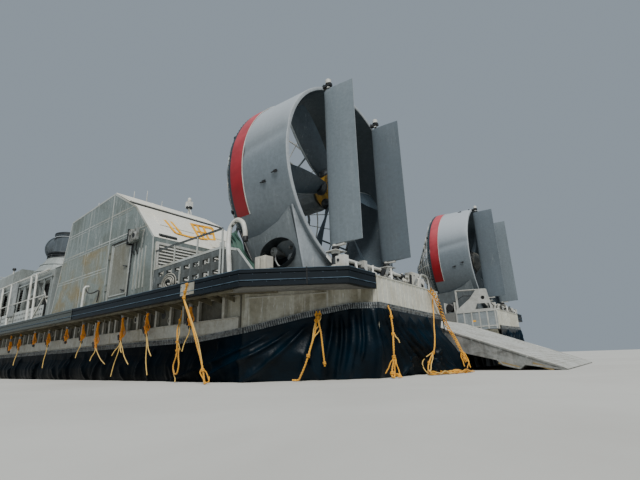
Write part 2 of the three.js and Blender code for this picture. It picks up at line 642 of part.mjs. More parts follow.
// Point on a ramp: s along the panel from its pin, w out of its upper face
function rampPoint(ramp, flip) {
  const angle = THREE.MathUtils.degToRad(ramp.angle);
  const [cos, sin] = [Math.cos(angle), Math.sin(angle)];
  return ([s, w]) => [ramp.pinX + s * cos - flip * w * sin, ramp.pinZ + s * sin + flip * w * cos];
}

const barrel = (ramp, half) => rod([ramp.pinX, -half, ramp.pinZ], [ramp.pinX, half, ramp.pinZ],
  hingeRadius, 24);

const sternProfile = [[0, -45], [0, 45], [180, 45], [180, 95], [3480, 95], [3550, 84], [3550, 72],
  [3480, 45], [2910, -77], [2850, -180], [2550, -215], [2440, -158], [1720, -248], [700, -240],
  [180, -120]];
const sternPanel = prism('y', sternProfile.map(rampPoint(sternRamp, -1)), -sternRamp.half, sternRamp.half);
addPiece('stern_ramp', joined([sternPanel, barrel(sternRamp, sternOpeningHalf + pinEmbed)]),
  'bareAluminium');

const bowProfile = [[0, -45], [0, 45], [140, 45], [140, 95], [3200, 95], [3300, 60], [3300, -30],
  [2600, -120], [300, -150], [140, -100]];
const bowPanel = prism('y', bowProfile.map(rampPoint(bowRamp, 1)), -bowRamp.half, bowRamp.half);
addPiece('bow_ramp', joined([bowPanel, barrel(bowRamp, bowCheek.y0 + pinEmbed)]), 'bareAluminium');

// Perforated bulwark plate on the deck edge beside each duct
const bulwarkY = [6430, 6470];
const bulwarkOutline = [[1200, fenderTopZ + 1], [1560, 2030], [1970, 2140], [4020, 2100],
  [4020, deckZ], [1345, deckZ], [1345, fenderTopZ + 1]];
const slots = { first: 2000, pitch: 280, width: 170, count: 7, rows: [[1690, 1770], [1910, 1990]] };
const slotCuts = slots.rows.flatMap(([z0, z1]) => Array.from({ length: slots.count }, (_, i) => {
  const x = slots.first + i * slots.pitch;
  return block(x, x + slots.width, bulwarkY[0] - 5, bulwarkY[1] + 5, z0, z1);
}));

// Handrail posts and a gooseneck vent pipe stand against the bulwark's inboard face
const railY = 6416;
const railZ = 2470;
const railRadius = 15;
const railPosts = [2000, 2700, 3420, 4100];
const railParts = [
  rod([railPosts[0], railY, railZ], [railPosts[3], railY, railZ], railRadius, 6),
  ...railPosts.map((x) => rod([x, railY, deckZ], [x, railY, railZ], railRadius, 6)),
  block(4010, 4115, railY, bulwarkY[1], deckZ, deckZ + 60),
];
const ventY = 6402;
const ventRoute = [[1750, ventY, deckZ - 20], [1800, ventY, 1950], [1850, ventY, 2280], [1810, ventY, 2460],
  [1660, ventY, 2550], [1520, ventY, 2480], [1455, ventY, 2330], [1440, ventY, 2190]];
const ventPipe = cutBy(bentRod(ventRoute, 33, 8, 14), [block(1500, 1900, 6300, 6500, 1500, deckZ)]);
addPair('bulwark_rail', joined([cutBy(prism('y', bulwarkOutline, ...bulwarkY), slotCuts), ...railParts,
  ventPipe]), 'bareAluminium');

// Mast with a navigation light on the port house roof
const mast = { x: 6900, y: 3940, foot: 4330, head: 4900, radius: 30 };
const underMast = [[6420, 4200], [6420, 4420.3], [8920, 4260.3], [8920, 4200]];
addPiece('roof_mast', cutBy(joined([
  rod([mast.x, mast.y, mast.foot], [mast.x, mast.y, mast.head], mast.radius, 12),
  block(mast.x - 80, mast.x + 80, mast.y - 80, mast.y + 80, mast.head - 10, mast.head + 180),
]), [prism('y', underMast, mast.y - 100, mast.y + 100)]), 'whitePaint');

// Starboard winch frame: a side plate with a cable window and a tube frame over the roller
const winch = { y0: -2345, y1: -2315, back: -2425, bar: 18 };
const winchPlate = [[120, deckZ], [195, 1990], [235, 2235], [560, 2235], [770, 1990], [1240, 1655],
  [1240, deckZ]];
const cableWindow = [[180, 1645], [205, 1805], [560, 1815], [640, 1645]];
const winchBar = (from, to) => rod(from, to, winch.bar, 8);
const winchPlane = (winch.y0 + winch.y1) / 2;
const winchHead = { fore: [1200, 2290], aft: [270, 2235] };
const winchParts = [cutBy(prism('y', winchPlate, winch.y0, winch.y1), [
  prism('y', cableWindow, winch.y0 - 5, winch.y1 + 5),
  rod([370, winch.y0 - 5, 1985], [370, winch.y1 + 5, 1985], 60, 16),
])];
[winchPlane, winch.back].forEach((y) => {
  winchParts.push(winchBar([winchHead.fore[0], y, deckZ], [winchHead.fore[0], y, winchHead.fore[1]]));
  winchParts.push(winchBar([winchHead.fore[0], y, winchHead.fore[1]], [winchHead.aft[0], y, winchHead.aft[1]]));
});
winchParts.push(winchBar([winchHead.aft[0], winch.back, deckZ], [winchHead.aft[0], winch.back, winchHead.aft[1]]));
[winchHead.fore, winchHead.aft].forEach(([x, z]) => {
  winchParts.push(winchBar([x, winchPlane, z], [x, winch.back, z]));
});
addPiece('winch_frame_stbd', joined(winchParts), 'whitePaint');

// Port winch frame: two low hoops of bent tube joined by a bar
const hoopRadius = 20;
const guardHoop = (x, y0, y1, crown) => bentRod([[x, y0, deckZ - 20], [x, y0, deckZ + 180],
  [x, y0 + 60, crown - 30], [x, (y0 + y1) / 2, crown], [x, y1 - 60, crown - 30], [x, y1, deckZ + 180],
  [x, y1, deckZ - 20]], hoopRadius, 8, 20);
addPiece('winch_frame_port', cutBy(joined([
  guardHoop(140, 2380, 2800, 1940),
  guardHoop(700, 2340, 2700, 1880),
  rod([140, 2590, 1935], [700, 2520, 1878], hoopRadius - 4, 8),
]), [block(50, 800, 2250, 2900, 1500, deckZ)]), 'whitePaint');

// Ropes hanging on the port quarter: radius, then the route down to the ground
const ropes = {
  rope_chamfer_long: [16, [[759.4, 5486.5, 1035], [758.4, 5490.5, 985], [715, 5552, 890], [690, 5621, 700],
    [729, 5690, 470], [792, 5738, 240], [845, 5781, 90], [875, 5806, 24], [955, 5855, 19]]],
  rope_chamfer_short: [14, [[721, 5455, 1035], [720, 5459, 985], [664, 5571, 900], [600, 5594, 700],
    [582, 5584, 480], [564, 5568, 200]]],
  rope_transom: [16, [[-44.6, 4600, 1120], [-45, 4602, 1085], [-84, 4615, 1020], [-121, 4671, 870],
    [-152, 4709, 725], [-197, 4814, 493], [-195, 4838, 273], [-182, 4890, 118], [-196, 4930, 30],
    [-262, 4985, 19]]],
  rope_corner_thin: [14, [[-14.6, 2532, 1585], [-14.8, 2575, 1480], [-16, 2640, 1320], [-42, 2718, 1140],
    [-122, 2964, 870], [-242, 3290, 613], [-302, 3536, 385], [-292, 3662, 283], [-275, 3776, 150],
    [-320, 3900, 45], [-400, 4060, 17], [-500, 4130, 17], [-540, 3950, 17], [-640, 3560, 17],
    [-735, 3220, 17], [-745, 3020, 20]]],
  rope_corner_thick: [48, [[-47, 2790, 1585], [-66, 2740, 1540], [-86, 2649, 1468],
    [-86, 2500, 1277], [-96, 2370, 1045], [-162, 2345, 838], [-284, 2400, 630], [-430, 2590, 429],
    [-515, 2670, 280], [-565, 2740, 175]]],
  rope_deck_edge: [16, [[2620, 6623.6, 1600], [2655, 6623.6, 1500], [2680, 6630, 1370],
    [2550, 6640, 1140], [2390, 6640, 890], [2220, 6640, 570], [2085, 6640, 320], [2010, 6640, 120],
    [1975, 6650, 30], [1900, 6700, 20]]],
  rope_side_loop: [14, [[3430, 6164.6, 1250], [3428, 6165, 1215], [3410, 6182, 1150],
    [3330, 6270, 1000], [3180, 6390, 850], [3120, 6410, 600], [3110, 6420, 430], [3170, 6425, 270],
    [3120, 6430, 150], [3040, 6430, 150], [3010, 6425, 280], [3045, 6420, 430], [3060, 6415, 560]]],
};
Object.entries(ropes).forEach(([name, [radius, points]]) => {
  addPiece(name, bentRod(points, radius, 8, 3 * (points.length - 1)), 'yellowRope');
});

const part = new THREE.Group();
part.add(craft);

export default part;
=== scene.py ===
# An air-cushion landing craft on dry ground, seen from its port quarter, stern ramp down.
# Lengths are in metres. X runs forward, Y to port and Z up.

import json
from math import cos, exp, pi, radians, sin, sqrt

import bmesh
import bpy
import numpy as np
from mathutils import Matrix, Vector
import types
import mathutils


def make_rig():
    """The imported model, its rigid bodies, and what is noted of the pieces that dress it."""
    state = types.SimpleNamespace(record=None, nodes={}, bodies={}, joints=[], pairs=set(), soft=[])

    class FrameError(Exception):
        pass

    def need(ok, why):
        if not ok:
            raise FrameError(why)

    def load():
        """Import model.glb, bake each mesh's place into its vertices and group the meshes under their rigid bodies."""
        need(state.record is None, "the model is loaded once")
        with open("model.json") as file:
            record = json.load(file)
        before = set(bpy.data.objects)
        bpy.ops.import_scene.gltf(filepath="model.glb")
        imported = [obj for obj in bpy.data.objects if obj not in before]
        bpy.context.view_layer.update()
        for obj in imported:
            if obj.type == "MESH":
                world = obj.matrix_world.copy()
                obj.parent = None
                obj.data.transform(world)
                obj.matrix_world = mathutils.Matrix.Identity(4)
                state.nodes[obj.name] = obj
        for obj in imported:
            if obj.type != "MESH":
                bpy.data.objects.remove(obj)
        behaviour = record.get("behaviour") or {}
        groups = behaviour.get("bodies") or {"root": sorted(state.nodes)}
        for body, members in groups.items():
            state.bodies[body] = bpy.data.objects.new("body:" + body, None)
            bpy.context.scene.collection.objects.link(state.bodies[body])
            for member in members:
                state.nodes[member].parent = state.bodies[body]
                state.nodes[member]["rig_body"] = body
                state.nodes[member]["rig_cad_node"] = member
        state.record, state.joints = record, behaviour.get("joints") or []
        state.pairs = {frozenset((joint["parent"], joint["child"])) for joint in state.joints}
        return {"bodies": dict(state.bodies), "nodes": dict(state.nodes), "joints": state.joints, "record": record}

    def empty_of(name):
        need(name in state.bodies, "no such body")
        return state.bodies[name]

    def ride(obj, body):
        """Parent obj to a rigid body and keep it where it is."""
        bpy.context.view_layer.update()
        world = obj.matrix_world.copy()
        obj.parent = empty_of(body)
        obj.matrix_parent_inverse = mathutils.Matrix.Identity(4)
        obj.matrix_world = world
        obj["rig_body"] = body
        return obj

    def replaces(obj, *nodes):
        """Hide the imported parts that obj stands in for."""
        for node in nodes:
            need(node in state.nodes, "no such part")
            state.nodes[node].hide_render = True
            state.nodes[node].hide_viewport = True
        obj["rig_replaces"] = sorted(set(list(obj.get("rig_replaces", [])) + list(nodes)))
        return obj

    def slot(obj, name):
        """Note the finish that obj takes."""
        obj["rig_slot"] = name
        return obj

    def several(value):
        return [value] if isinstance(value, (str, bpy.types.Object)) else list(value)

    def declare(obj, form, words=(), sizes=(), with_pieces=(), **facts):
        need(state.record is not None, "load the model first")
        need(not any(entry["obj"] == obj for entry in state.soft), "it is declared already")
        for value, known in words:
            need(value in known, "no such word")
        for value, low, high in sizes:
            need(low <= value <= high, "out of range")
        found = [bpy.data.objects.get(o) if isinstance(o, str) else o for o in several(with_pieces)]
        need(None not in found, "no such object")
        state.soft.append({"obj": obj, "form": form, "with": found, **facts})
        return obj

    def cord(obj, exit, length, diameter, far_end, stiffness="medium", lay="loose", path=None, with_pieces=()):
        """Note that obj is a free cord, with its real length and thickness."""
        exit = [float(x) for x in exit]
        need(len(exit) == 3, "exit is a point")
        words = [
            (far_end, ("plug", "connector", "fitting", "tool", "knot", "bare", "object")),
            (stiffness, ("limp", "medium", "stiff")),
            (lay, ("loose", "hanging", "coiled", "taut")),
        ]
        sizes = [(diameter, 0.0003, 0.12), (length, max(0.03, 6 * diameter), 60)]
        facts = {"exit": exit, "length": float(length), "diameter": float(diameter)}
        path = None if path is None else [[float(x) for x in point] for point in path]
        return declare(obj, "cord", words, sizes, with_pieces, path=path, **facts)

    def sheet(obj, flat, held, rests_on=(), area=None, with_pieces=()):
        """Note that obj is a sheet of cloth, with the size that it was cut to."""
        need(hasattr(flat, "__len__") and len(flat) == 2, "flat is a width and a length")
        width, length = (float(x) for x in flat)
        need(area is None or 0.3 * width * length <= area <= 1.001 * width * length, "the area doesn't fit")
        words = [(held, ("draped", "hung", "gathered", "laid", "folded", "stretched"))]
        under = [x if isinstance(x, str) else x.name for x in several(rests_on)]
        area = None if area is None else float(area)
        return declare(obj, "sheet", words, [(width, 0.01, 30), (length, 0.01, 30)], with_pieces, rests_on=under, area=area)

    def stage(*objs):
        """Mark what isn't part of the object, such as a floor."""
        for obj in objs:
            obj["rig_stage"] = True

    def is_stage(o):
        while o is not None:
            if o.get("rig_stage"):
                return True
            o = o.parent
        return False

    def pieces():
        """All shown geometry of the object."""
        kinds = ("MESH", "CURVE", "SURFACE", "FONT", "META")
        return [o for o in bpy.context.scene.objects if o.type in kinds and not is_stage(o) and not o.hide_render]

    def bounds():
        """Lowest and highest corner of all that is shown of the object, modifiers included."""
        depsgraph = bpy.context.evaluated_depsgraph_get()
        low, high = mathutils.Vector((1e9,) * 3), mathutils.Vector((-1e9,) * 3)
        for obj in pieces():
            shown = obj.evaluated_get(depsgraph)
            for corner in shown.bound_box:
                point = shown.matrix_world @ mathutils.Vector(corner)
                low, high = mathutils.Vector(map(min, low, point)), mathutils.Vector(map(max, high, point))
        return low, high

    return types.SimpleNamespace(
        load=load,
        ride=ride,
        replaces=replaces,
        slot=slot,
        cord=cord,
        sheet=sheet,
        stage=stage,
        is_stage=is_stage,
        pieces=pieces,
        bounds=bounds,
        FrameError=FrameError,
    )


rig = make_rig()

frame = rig.load()
cad_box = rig.bounds()

# Camera. It stands close to the ground off the port quarter and looks up past the stern.
# Places on the craft are given from the stern deck edge, as a shipwright would measure them.
stern_x = -11.5935


def at(x, y, z):
    return Vector((x + stern_x, y, z))


sides = (("port", 1), ("stbd", -1))
to_bow, to_stern, to_port, to_sky = (1, 0, 0), (-1, 0, 0), (0, 1, 0), (0, 0, 1)
turn, tilt, lean = (radians(angle) for angle in (52.313, 16.868, -1.805))
ahead = Vector((cos(turn) * cos(tilt), -sin(turn) * cos(tilt), sin(tilt)))
level = ahead.cross(Vector(to_sky)).normalized()
upright = level.cross(ahead)
right = level * cos(lean) + upright * sin(lean)
top = upright * cos(lean) - level * sin(lean)
camera = bpy.data.objects.new("camera", bpy.data.cameras.new("camera"))
camera.data.sensor_width = 36
camera.data.lens = 22.062
camera.data.clip_start, camera.data.clip_end = 0.05, 2000
camera.matrix_world = Matrix.Translation(at(-3.154, 10.401, 0.307)) @ Matrix(
    (right, top, -ahead)).transposed().to_4x4()
bpy.context.scene.collection.objects.link(camera)
bpy.context.scene.camera = camera


# Mooring ropes. Laid yellow synthetic rope, hitched to the clamp strip, the transom and the deck
# edge on the port quarter, with doubled strands, bights and frayed tails, and left hanging.
class Nodes:
    """Short calls that add nodes to a material or a group, each giving what comes out of its node."""

    def __init__(self, tree):
        self.tree = tree

    def put(self, socket, value):
        if isinstance(value, bpy.types.NodeSocket):
            self.tree.links.new(value, socket)
        else:
            socket.default_value = value

    def new(self, kind, given, **settings):
        """A node with its settings, its sockets given values or the outputs that feed them."""
        node = self.tree.nodes.new("ShaderNode" + kind)
        for key, value in settings.items():
            setattr(node, key, value)
        for socket, value in given.items():
            self.put(node.inputs[socket], value)
        return node.outputs

    def placed(self, tree, **values):
        """One of the groups below, placed with its own values."""
        return self.new("Group", {label.replace("_", " "): value for label, value in values.items()},
                        node_tree=tree)

    def along(self, axis):
        """How far along an axis of the scene, with 0, 1 and 2 for X, Y and Z."""
        return self.new("SeparateXYZ", {0: self.new("TexCoord", {})["Object"]})[axis]

    def place(self, seed=0.0, stretch=(1, 1, 1)):
        scaled = self.new("VectorMath", {0: self.new("TexCoord", {})["Object"], 1: stretch},
                          operation="MULTIPLY")
        shift = self.new("CombineXYZ", {0: seed, 1: seed})
        return self.new("VectorMath", {0: scaled[0], 1: shift[0]}, operation="ADD")[0]

    def noise(self, where, size, detail, rough=0.55, warp=0.0):
        return self.new("TexNoise", {"Vector": where, "Scale": size, "Detail": detail, "Roughness": rough,
                                     "Distortion": warp})["Fac"]

    def remap(self, value, low, high, to_low=0.0, to_high=1.0, curve="LINEAR"):
        return self.new("MapRange", dict(enumerate((value, low, high, to_low, to_high))),
                        interpolation_type=curve)[0]

    def math(self, kind, first, second):
        return self.new("Math", {0: first, 1: second}, operation=kind)[0]

    def mix(self, share, first, second, blend="MIX"):
        return self.new("Mix", {"Factor": share, "A": first, "B": second}, data_type="RGBA",
                        blend_type=blend)["Result"]


class Finish(Nodes):
    """A new material, and the calls that feed its shader."""

    def __init__(self, name):
        self.made = bpy.data.materials.new(name)
        self.made.use_nodes = True
        super().__init__(self.made.node_tree)

    def wear(self, **values):
        for label, value in values.items():
            self.put(self.tree.nodes["Principled BSDF"].inputs[label.replace("_", " ")], value)

    def bump(self, height, strength, distance):
        self.wear(Normal=self.new("Bump", {"Strength": strength, "Distance": distance, "Height": height})[0])


def group(name, inputs, outputs):
    """A new node group. Inputs and outputs are (name, socket kind, value) and (name, kind)."""
    tree = bpy.data.node_groups.new(name, "ShaderNodeTree")
    for label, kind, value in inputs:
        socket = tree.interface.new_socket(label, in_out="INPUT", socket_type="NodeSocket" + kind)
        socket.default_value = value
    for label, kind in outputs:
        tree.interface.new_socket(label, in_out="OUTPUT", socket_type="NodeSocket" + kind)
    source, sink = tree.nodes.new("NodeGroupInput"), tree.nodes.new("NodeGroupOutput")
    return tree, Nodes(tree), source.outputs, sink.inputs


def shade(red, green, blue):
    """A colour given as it looks on paper, 0 to 255, in the linear numbers the shader wants."""
    def linear(value):
        value /= 255
        return value / 12.92 if value <= 0.04045 else ((value + 0.055) / 1.055) ** 2.4
    return (linear(red), linear(green), linear(blue), 1.0)


# Grime in patches, the same on rope, rubber and plate: soft clouds of a second colour
grime, step, given, out = group("grime_patches", [
    ("Clean", "Color", (1, 1, 1, 1)), ("Dirty", "Color", (0, 0, 0, 1)), ("Size", "Float", 2.0),
    ("Amount", "Float", 0.5), ("Seed", "Float", 0.0)], [("Color", "Color")])
cloud = step.noise(step.place(given["Seed"]), given["Size"], 6.0, 0.62, 0.3)
mask = step.math("MULTIPLY", step.remap(cloud, 0.42, 0.68), given["Amount"])
step.put(out["Color"], step.mix(mask, given["Clean"], given["Dirty"]))

# Fine grain, the tooth of a surface, as a height for a bump
grain, step, given, out = group("fine_grain", [
    ("Size", "Float", 80.0), ("Coarse", "Float", 8.0), ("Share", "Float", 0.5)], [("Height", "Float")])
fine = step.noise(step.place(), given["Size"], 3.0)
coarse = step.noise(step.place(3.7), given["Coarse"], 4.0)
step.put(out["Height"], step.math("ADD", step.math("MULTIPLY", fine, given["Share"]),
                                  step.math("MULTIPLY", coarse,
                                            step.math("SUBTRACT", 1.0, given["Share"]))))


def grimy(name, clean, dirty, size, amount, rough, seed=0.0):
    """A new material of one colour with patches of another."""
    finish = Finish(name)
    look = finish.placed(grime, Clean=shade(*clean), Dirty=shade(*dirty), Size=size, Amount=amount,
                         Seed=seed)
    finish.wear(Base_Color=look["Color"], Roughness=rough)
    return finish


def rope_finish(name, clean, dirty):
    rope = grimy(name, clean, dirty, 6.0, 0.55, 0.72, 2.0)
    rope.wear(Sheen_Weight=0.25)
    rope.bump(rope.placed(grain, Size=420.0, Coarse=90.0)["Height"], 0.4, 0.002)
    return rope.made


yellow_rope = rope_finish("yellow_rope", (236, 168, 30), (150, 98, 26))
pale_rope = rope_finish("pale_rope", (224, 184, 96), (150, 122, 70))


def smooth_route(points, count):
    """Evenly spaced points on the smooth curve through the given ones."""
    knots = [Vector(point) for point in points]
    knots = [2 * knots[0] - knots[1], *knots, 2 * knots[-1] - knots[-2]]
    fine = []
    for a, b, c, d in zip(knots, knots[1:], knots[2:], knots[3:]):
        gaps = [max((q - p).length ** 0.5, 1e-6) for p, q in ((a, b), (b, c), (c, d))]
        before = ((b - a) / gaps[0] - (c - a) / (gaps[0] + gaps[1]) + (c - b) / gaps[1]) * gaps[1]
        after = ((c - b) / gaps[1] - (d - b) / (gaps[1] + gaps[2]) + (d - c) / gaps[2]) * gaps[1]
        for i in range(24):
            t = i / 24
            fine.append(b + before * t + (3 * (c - b) - 2 * before - after) * t * t
                        + (2 * (b - c) + before + after) * t ** 3)
    fine.append(knots[-2])
    reach = [0.0]
    for p, q in zip(fine, fine[1:]):
        reach.append(reach[-1] + (q - p).length)
    spots = np.linspace(0, reach[-1], count)
    return [Vector([np.interp(spot, reach, [p[k] for p in fine]) for k in range(3)]) for spot in spots]


def length_of(route):
    return sum((b - a).length for a, b in zip(route, route[1:]))


def swept(route, ring):
    """Points and faces of a body whose ring of (sideways, upwards) points follows a route.
    ring is a function of the share of the way along and gives the same number of points."""
    points, faces = [], []
    side = Vector(to_sky).cross(route[1] - route[0])
    side = side.normalized() if side.length > 1e-6 else Vector(to_port)
    count = len(ring(0.0))
    for i, spot in enumerate(route):
        along = (route[min(i + 1, len(route) - 1)] - route[max(i - 1, 0)]).normalized()
        side = (side - along * side.dot(along)).normalized()
        lift = along.cross(side)
        points += [spot + side * a + lift * b for a, b in ring(i / (len(route) - 1))]
        if i:
            row = (i - 1) * count
            faces += [(row + k, row + (k + 1) % count, row + count + (k + 1) % count, row + count + k)
                      for k in range(count)]
    last = (len(route) - 1) * count
    faces += [tuple(reversed(range(count))), tuple(range(last, last + count))]
    return points, faces


def mesh_piece(name, points, faces, finish, body="hull", slot=None, sharp=35.0):
    """A finished piece of the craft: smooth but for its sharp edges, riding on its body."""
    mesh = bpy.data.meshes.new(name)
    mesh.from_pydata([tuple(point) for point in points], [], faces)
    mesh.validate()
    tidy = bmesh.new()
    tidy.from_mesh(mesh)
    bmesh.ops.recalc_face_normals(tidy, faces=tidy.faces)
    tidy.to_mesh(mesh)
    tidy.free()
    mesh.polygons.foreach_set("use_smooth", [True] * len(mesh.polygons))
    mesh.set_sharp_from_angle(angle=radians(sharp))
    piece = bpy.data.objects.new(name, mesh)
    bpy.context.scene.collection.objects.link(piece)
    mesh.materials.append(finish)
    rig.ride(piece, body)
    if slot:
        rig.slot(piece, slot)
    return piece


def rope_ring(radius, strands, lay):
    """The strands in the rope's section, turning once in each share of lay along it."""
    def ring(share):
        turned = 2 * pi * share / lay
        around = [2 * pi * k / (4 * strands) for k in range(4 * strands)]
        reach = [radius * (0.78 + 0.22 * cos(strands * (a - turned))) for a in around]
        return [(r * cos(a), r * sin(a)) for r, a in zip(reach, around)]
    return ring


def doubled(line, radius):
    """Points and faces of a rope made of three slack strands, wound about each other with gaps."""
    turns_apart = 0.24
    points, faces = [], []
    for k in range(3):
        spots, reach = [], 0.0
        for i, spot in enumerate(line):
            along = (line[min(i + 1, len(line) - 1)] - line[max(i - 1, 0)]).normalized()
            side = along.cross(right).normalized()
            reach += (spot - line[i - 1]).length if i else 0.0
            a = 2 * pi * (reach / turns_apart + k / 3)
            slack = radius * (0.85 - 0.5 * i / len(line))
            spots.append(spot + (side * cos(a) + side.cross(along) * sin(a)) * slack)
        more, rings = swept(spots, round_ring(radius * 0.2, 6))
        faces += [tuple(len(points) + i for i in face) for face in rings]
        points += more
    return points, faces


def round_ring(radius, count):
    return lambda share: [(radius * cos(2 * pi * k / count), radius * sin(2 * pi * k / count))
                          for k in range(count)]


def strand(name, line, radius, start, end, bulge, spread, drop, finish):
    """A loose strand beside a rope, from one share of its length to another. It bows out to the
    right of the view by bulge, spreads away by spread and ends lower than the rope by drop. On the
    ground it heaves up in humps too."""
    spots = []
    for i in range(21):
        t = i / 20
        place = line[int((start + (end - start) * t) * (len(line) - 1))]
        reach = bulge * sin(pi * t) + spread * t + 0.006 * sin(11 * t)
        spots.append(place + right * reach + Vector((0, 0, -drop * t ** 1.5)))
        if place.z < 0.06:
            spots[-1].z += 0.05 * abs(sin(9 * t + 40 * bulge)) * abs(cos(5 * t))
        spots[-1].z = max(spots[-1].z, radius + 0.002)
    points, faces = swept(smooth_route(spots, 90), round_ring(radius, 7))
    return mesh_piece(name, points, faces, finish, slot="yellow_rope")


def knot(name, line, share, size, finish):
    """Two round turns and a tuck drawn tight about the rope."""
    middle = int(share * (len(line) - 1))
    spot = line[middle]
    along = (line[min(middle + 3, len(line) - 1)] - line[max(middle - 3, 0)]).normalized()
    side = along.cross(right).normalized()
    turns = []
    for i in range(61):
        a = 2 * pi * i / 20
        swell = 1.25 + 0.25 * sin(a * 0.7)
        turns.append(spot + along * size * (i / 30 - 1) * 1.1 + (side.cross(along) * cos(a) + side
                                                                 * sin(a)) * size * swell)
    points, faces = swept(turns, round_ring(size * 0.55, 7))
    return mesh_piece(name, points, faces, finish, slot="yellow_rope")


# For each rope: its radius in mm, its strands and how it lies, its route in mm from the stern deck
# edge, the places of its knots, and its loose strands as (from, to, bulge, spread, drop)
ropes = {"rope_chamfer_long": (16, 3, "loose", [(759.4, 5486.5, 1035), (758.4, 5490.5, 985),
                                                (715, 5552, 890), (690, 5621, 700), (729, 5690, 470),
                                                (792, 5738, 240), (845, 5781, 90), (875, 5806, 24),
                                                (955, 5855, 19)], (0.06, 0.16, 0.62),
                               [(0.03, 0.3, 0.05, 0.0, 0.0), (0.05, 0.62, -0.03, 0.02, 0.0),
                                (0.1, 0.38, 0.06, 0.01, 0.0)]),
         "rope_chamfer_short": (14, 3, "hanging", [(721, 5455, 1035), (720, 5459, 985), (664, 5571, 900),
                                                   (600, 5594, 700), (582, 5584, 480), (564, 5568, 200)],
                                (0.07, 0.2, 0.96), [(0.03, 0.3, 0.04, 0.0, 0.0)]),
         "rope_transom": (16, 3, "loose", [(-44.6, 4600, 1120), (-45, 4602, 1085), (-84, 4615, 1020),
                                           (-121, 4671, 870), (-152, 4709, 725), (-197, 4814, 493),
                                           (-195, 4838, 273), (-182, 4890, 118), (-196, 4930, 30),
                                           (-262, 4985, 19)], (0.18, 0.42, 0.7, 0.9),
                          [(0.4, 0.5, 0.0, 0.1, 0.04), (0.68, 0.9, 0.0, -0.09, 0.0),
                           (0.68, 0.93, 0.0, 0.13, 0.0), (0.7, 0.98, 0.03, 0.02, 0.0),
                           (0.88, 1.0, 0.03, 0.1, 0.0), (0.9, 1.0, 0.04, 0.07, 0.0),
                           (0.9, 1.0, 0.0, 0.12, 0.0)]),
         "rope_corner_thin": (14, 3, "loose", [(-14.6, 2532, 1585), (-14.8, 2575, 1480), (-16, 2640, 1320),
                                               (-42, 2718, 1140), (-122, 2964, 870), (-242, 3290, 613),
                                               (-302, 3536, 385), (-292, 3662, 283), (-275, 3776, 150),
                                               (-320, 3900, 45), (-400, 4060, 17), (-500, 4130, 17),
                                               (-540, 3950, 17), (-640, 3560, 17), (-735, 3220, 17),
                                               (-745, 3020, 20)], (0.47, 0.535, 0.8, 0.86, 0.93),
                              [(0.46, 0.6, -0.1, -0.02, 0.0), (0.48, 0.62, 0.06, -0.02, 0.0),
                               (0.6, 0.8, 0.03, 0.05, 0.0), (0.64, 0.97, -0.04, 0.03, 0.0),
                               (0.66, 0.9, 0.02, 0.04, 0.0), (0.7, 0.95, -0.02, 0.02, 0.0),
                               (0.74, 1.0, 0.05, 0.02, 0.0), (0.6, 1.0, 0.01, 0.05, 0.0)]),
         "rope_corner_thick": (48, 2, "hanging", [(-47, 2790, 1585), (-66, 2740, 1540), (-86, 2649, 1468),
                                                  (-86, 2500, 1277), (-96, 2370, 1045), (-162, 2345, 838),
                                                  (-284, 2400, 630), (-430, 2590, 429), (-515, 2670, 280),
                                                  (-565, 2740, 175)], (0.97,),
                               [(0.86, 1.0, -0.03, -0.03, 0.08), (0.86, 1.0, 0.06, 0.02, 0.11),
                                (0.86, 1.0, 0.0, 0.08, 0.1)]),
         "rope_deck_edge": (16, 3, "loose", [(2620, 6623.6, 1600), (2655, 6623.6, 1500),
                                             (2680, 6630, 1370), (2550, 6640, 1140), (2390, 6640, 890),
                                             (2220, 6640, 570), (2085, 6640, 320), (2010, 6640, 120),
                                             (1975, 6650, 30), (1900, 6700, 20)], (0.02, 0.09, 0.14, 0.86),
                            [(0.0, 0.14, 0.03, 0.01, 0.0), (0.14, 0.8, 0.02, 0.012, 0.0),
                             (0.82, 0.95, -0.05, 0.02, 0.0), (0.84, 1.0, 0.06, 0.02, 0.0)]),
         "rope_side_loop": (14, 3, "hanging", [(3430, 6164.6, 1250), (3428, 6165, 1215),
                                               (3410, 6182, 1150), (3330, 6270, 1000), (3180, 6390, 850),
                                               (3120, 6410, 600), (3110, 6420, 430), (3170, 6425, 270),
                                               (3120, 6430, 150), (3040, 6430, 150), (3010, 6425, 280),
                                               (3045, 6420, 430), (3060, 6415, 560)], (0.12, 0.42, 0.5),
                            [(0.1, 0.42, 0.03, 0.01, 0.0), (0.42, 0.52, 0.03, 0.03, 0.0),
                             (0.68, 0.74, 0.01, 0.01, 0.14)]),}
route_step, strand_radius = 0.011, 0.009
for name, (radius, strands, lies, route, knots, loose) in ropes.items():
    radius /= 1000
    rough = [at(x / 1000, y / 1000, z / 1000) for x, y, z in route]
    long = length_of(rough)
    line = smooth_route(rough, int(long / route_step))
    long = length_of(line)
    if strands == 3:
        points, faces = swept(line, rope_ring(radius, 3, 7.5 * radius / long))
    else:
        points, faces = doubled(line, radius)
    piece = mesh_piece(name + "_laid", points, faces, yellow_rope, slot="yellow_rope", sharp=60)
    ties = [knot(f"{name}_knot_{i + 1}", line, share, min(radius, 0.02), yellow_rope)
            for i, share in enumerate(knots)]
    ties += [strand(f"{name}_strand_{i + 1}", line, strand_radius, start, end, bulge, spread, drop,
                    yellow_rope if end > 0.89 else pale_rope)
             for i, (start, end, bulge, spread, drop) in enumerate(loose)]
    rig.replaces(piece, name)
    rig.cord(piece, exit=line[0], length=round(long, 3), diameter=2 * radius, far_end="bare",
            stiffness="limp", lay=lies, path=line, with_pieces=ties)


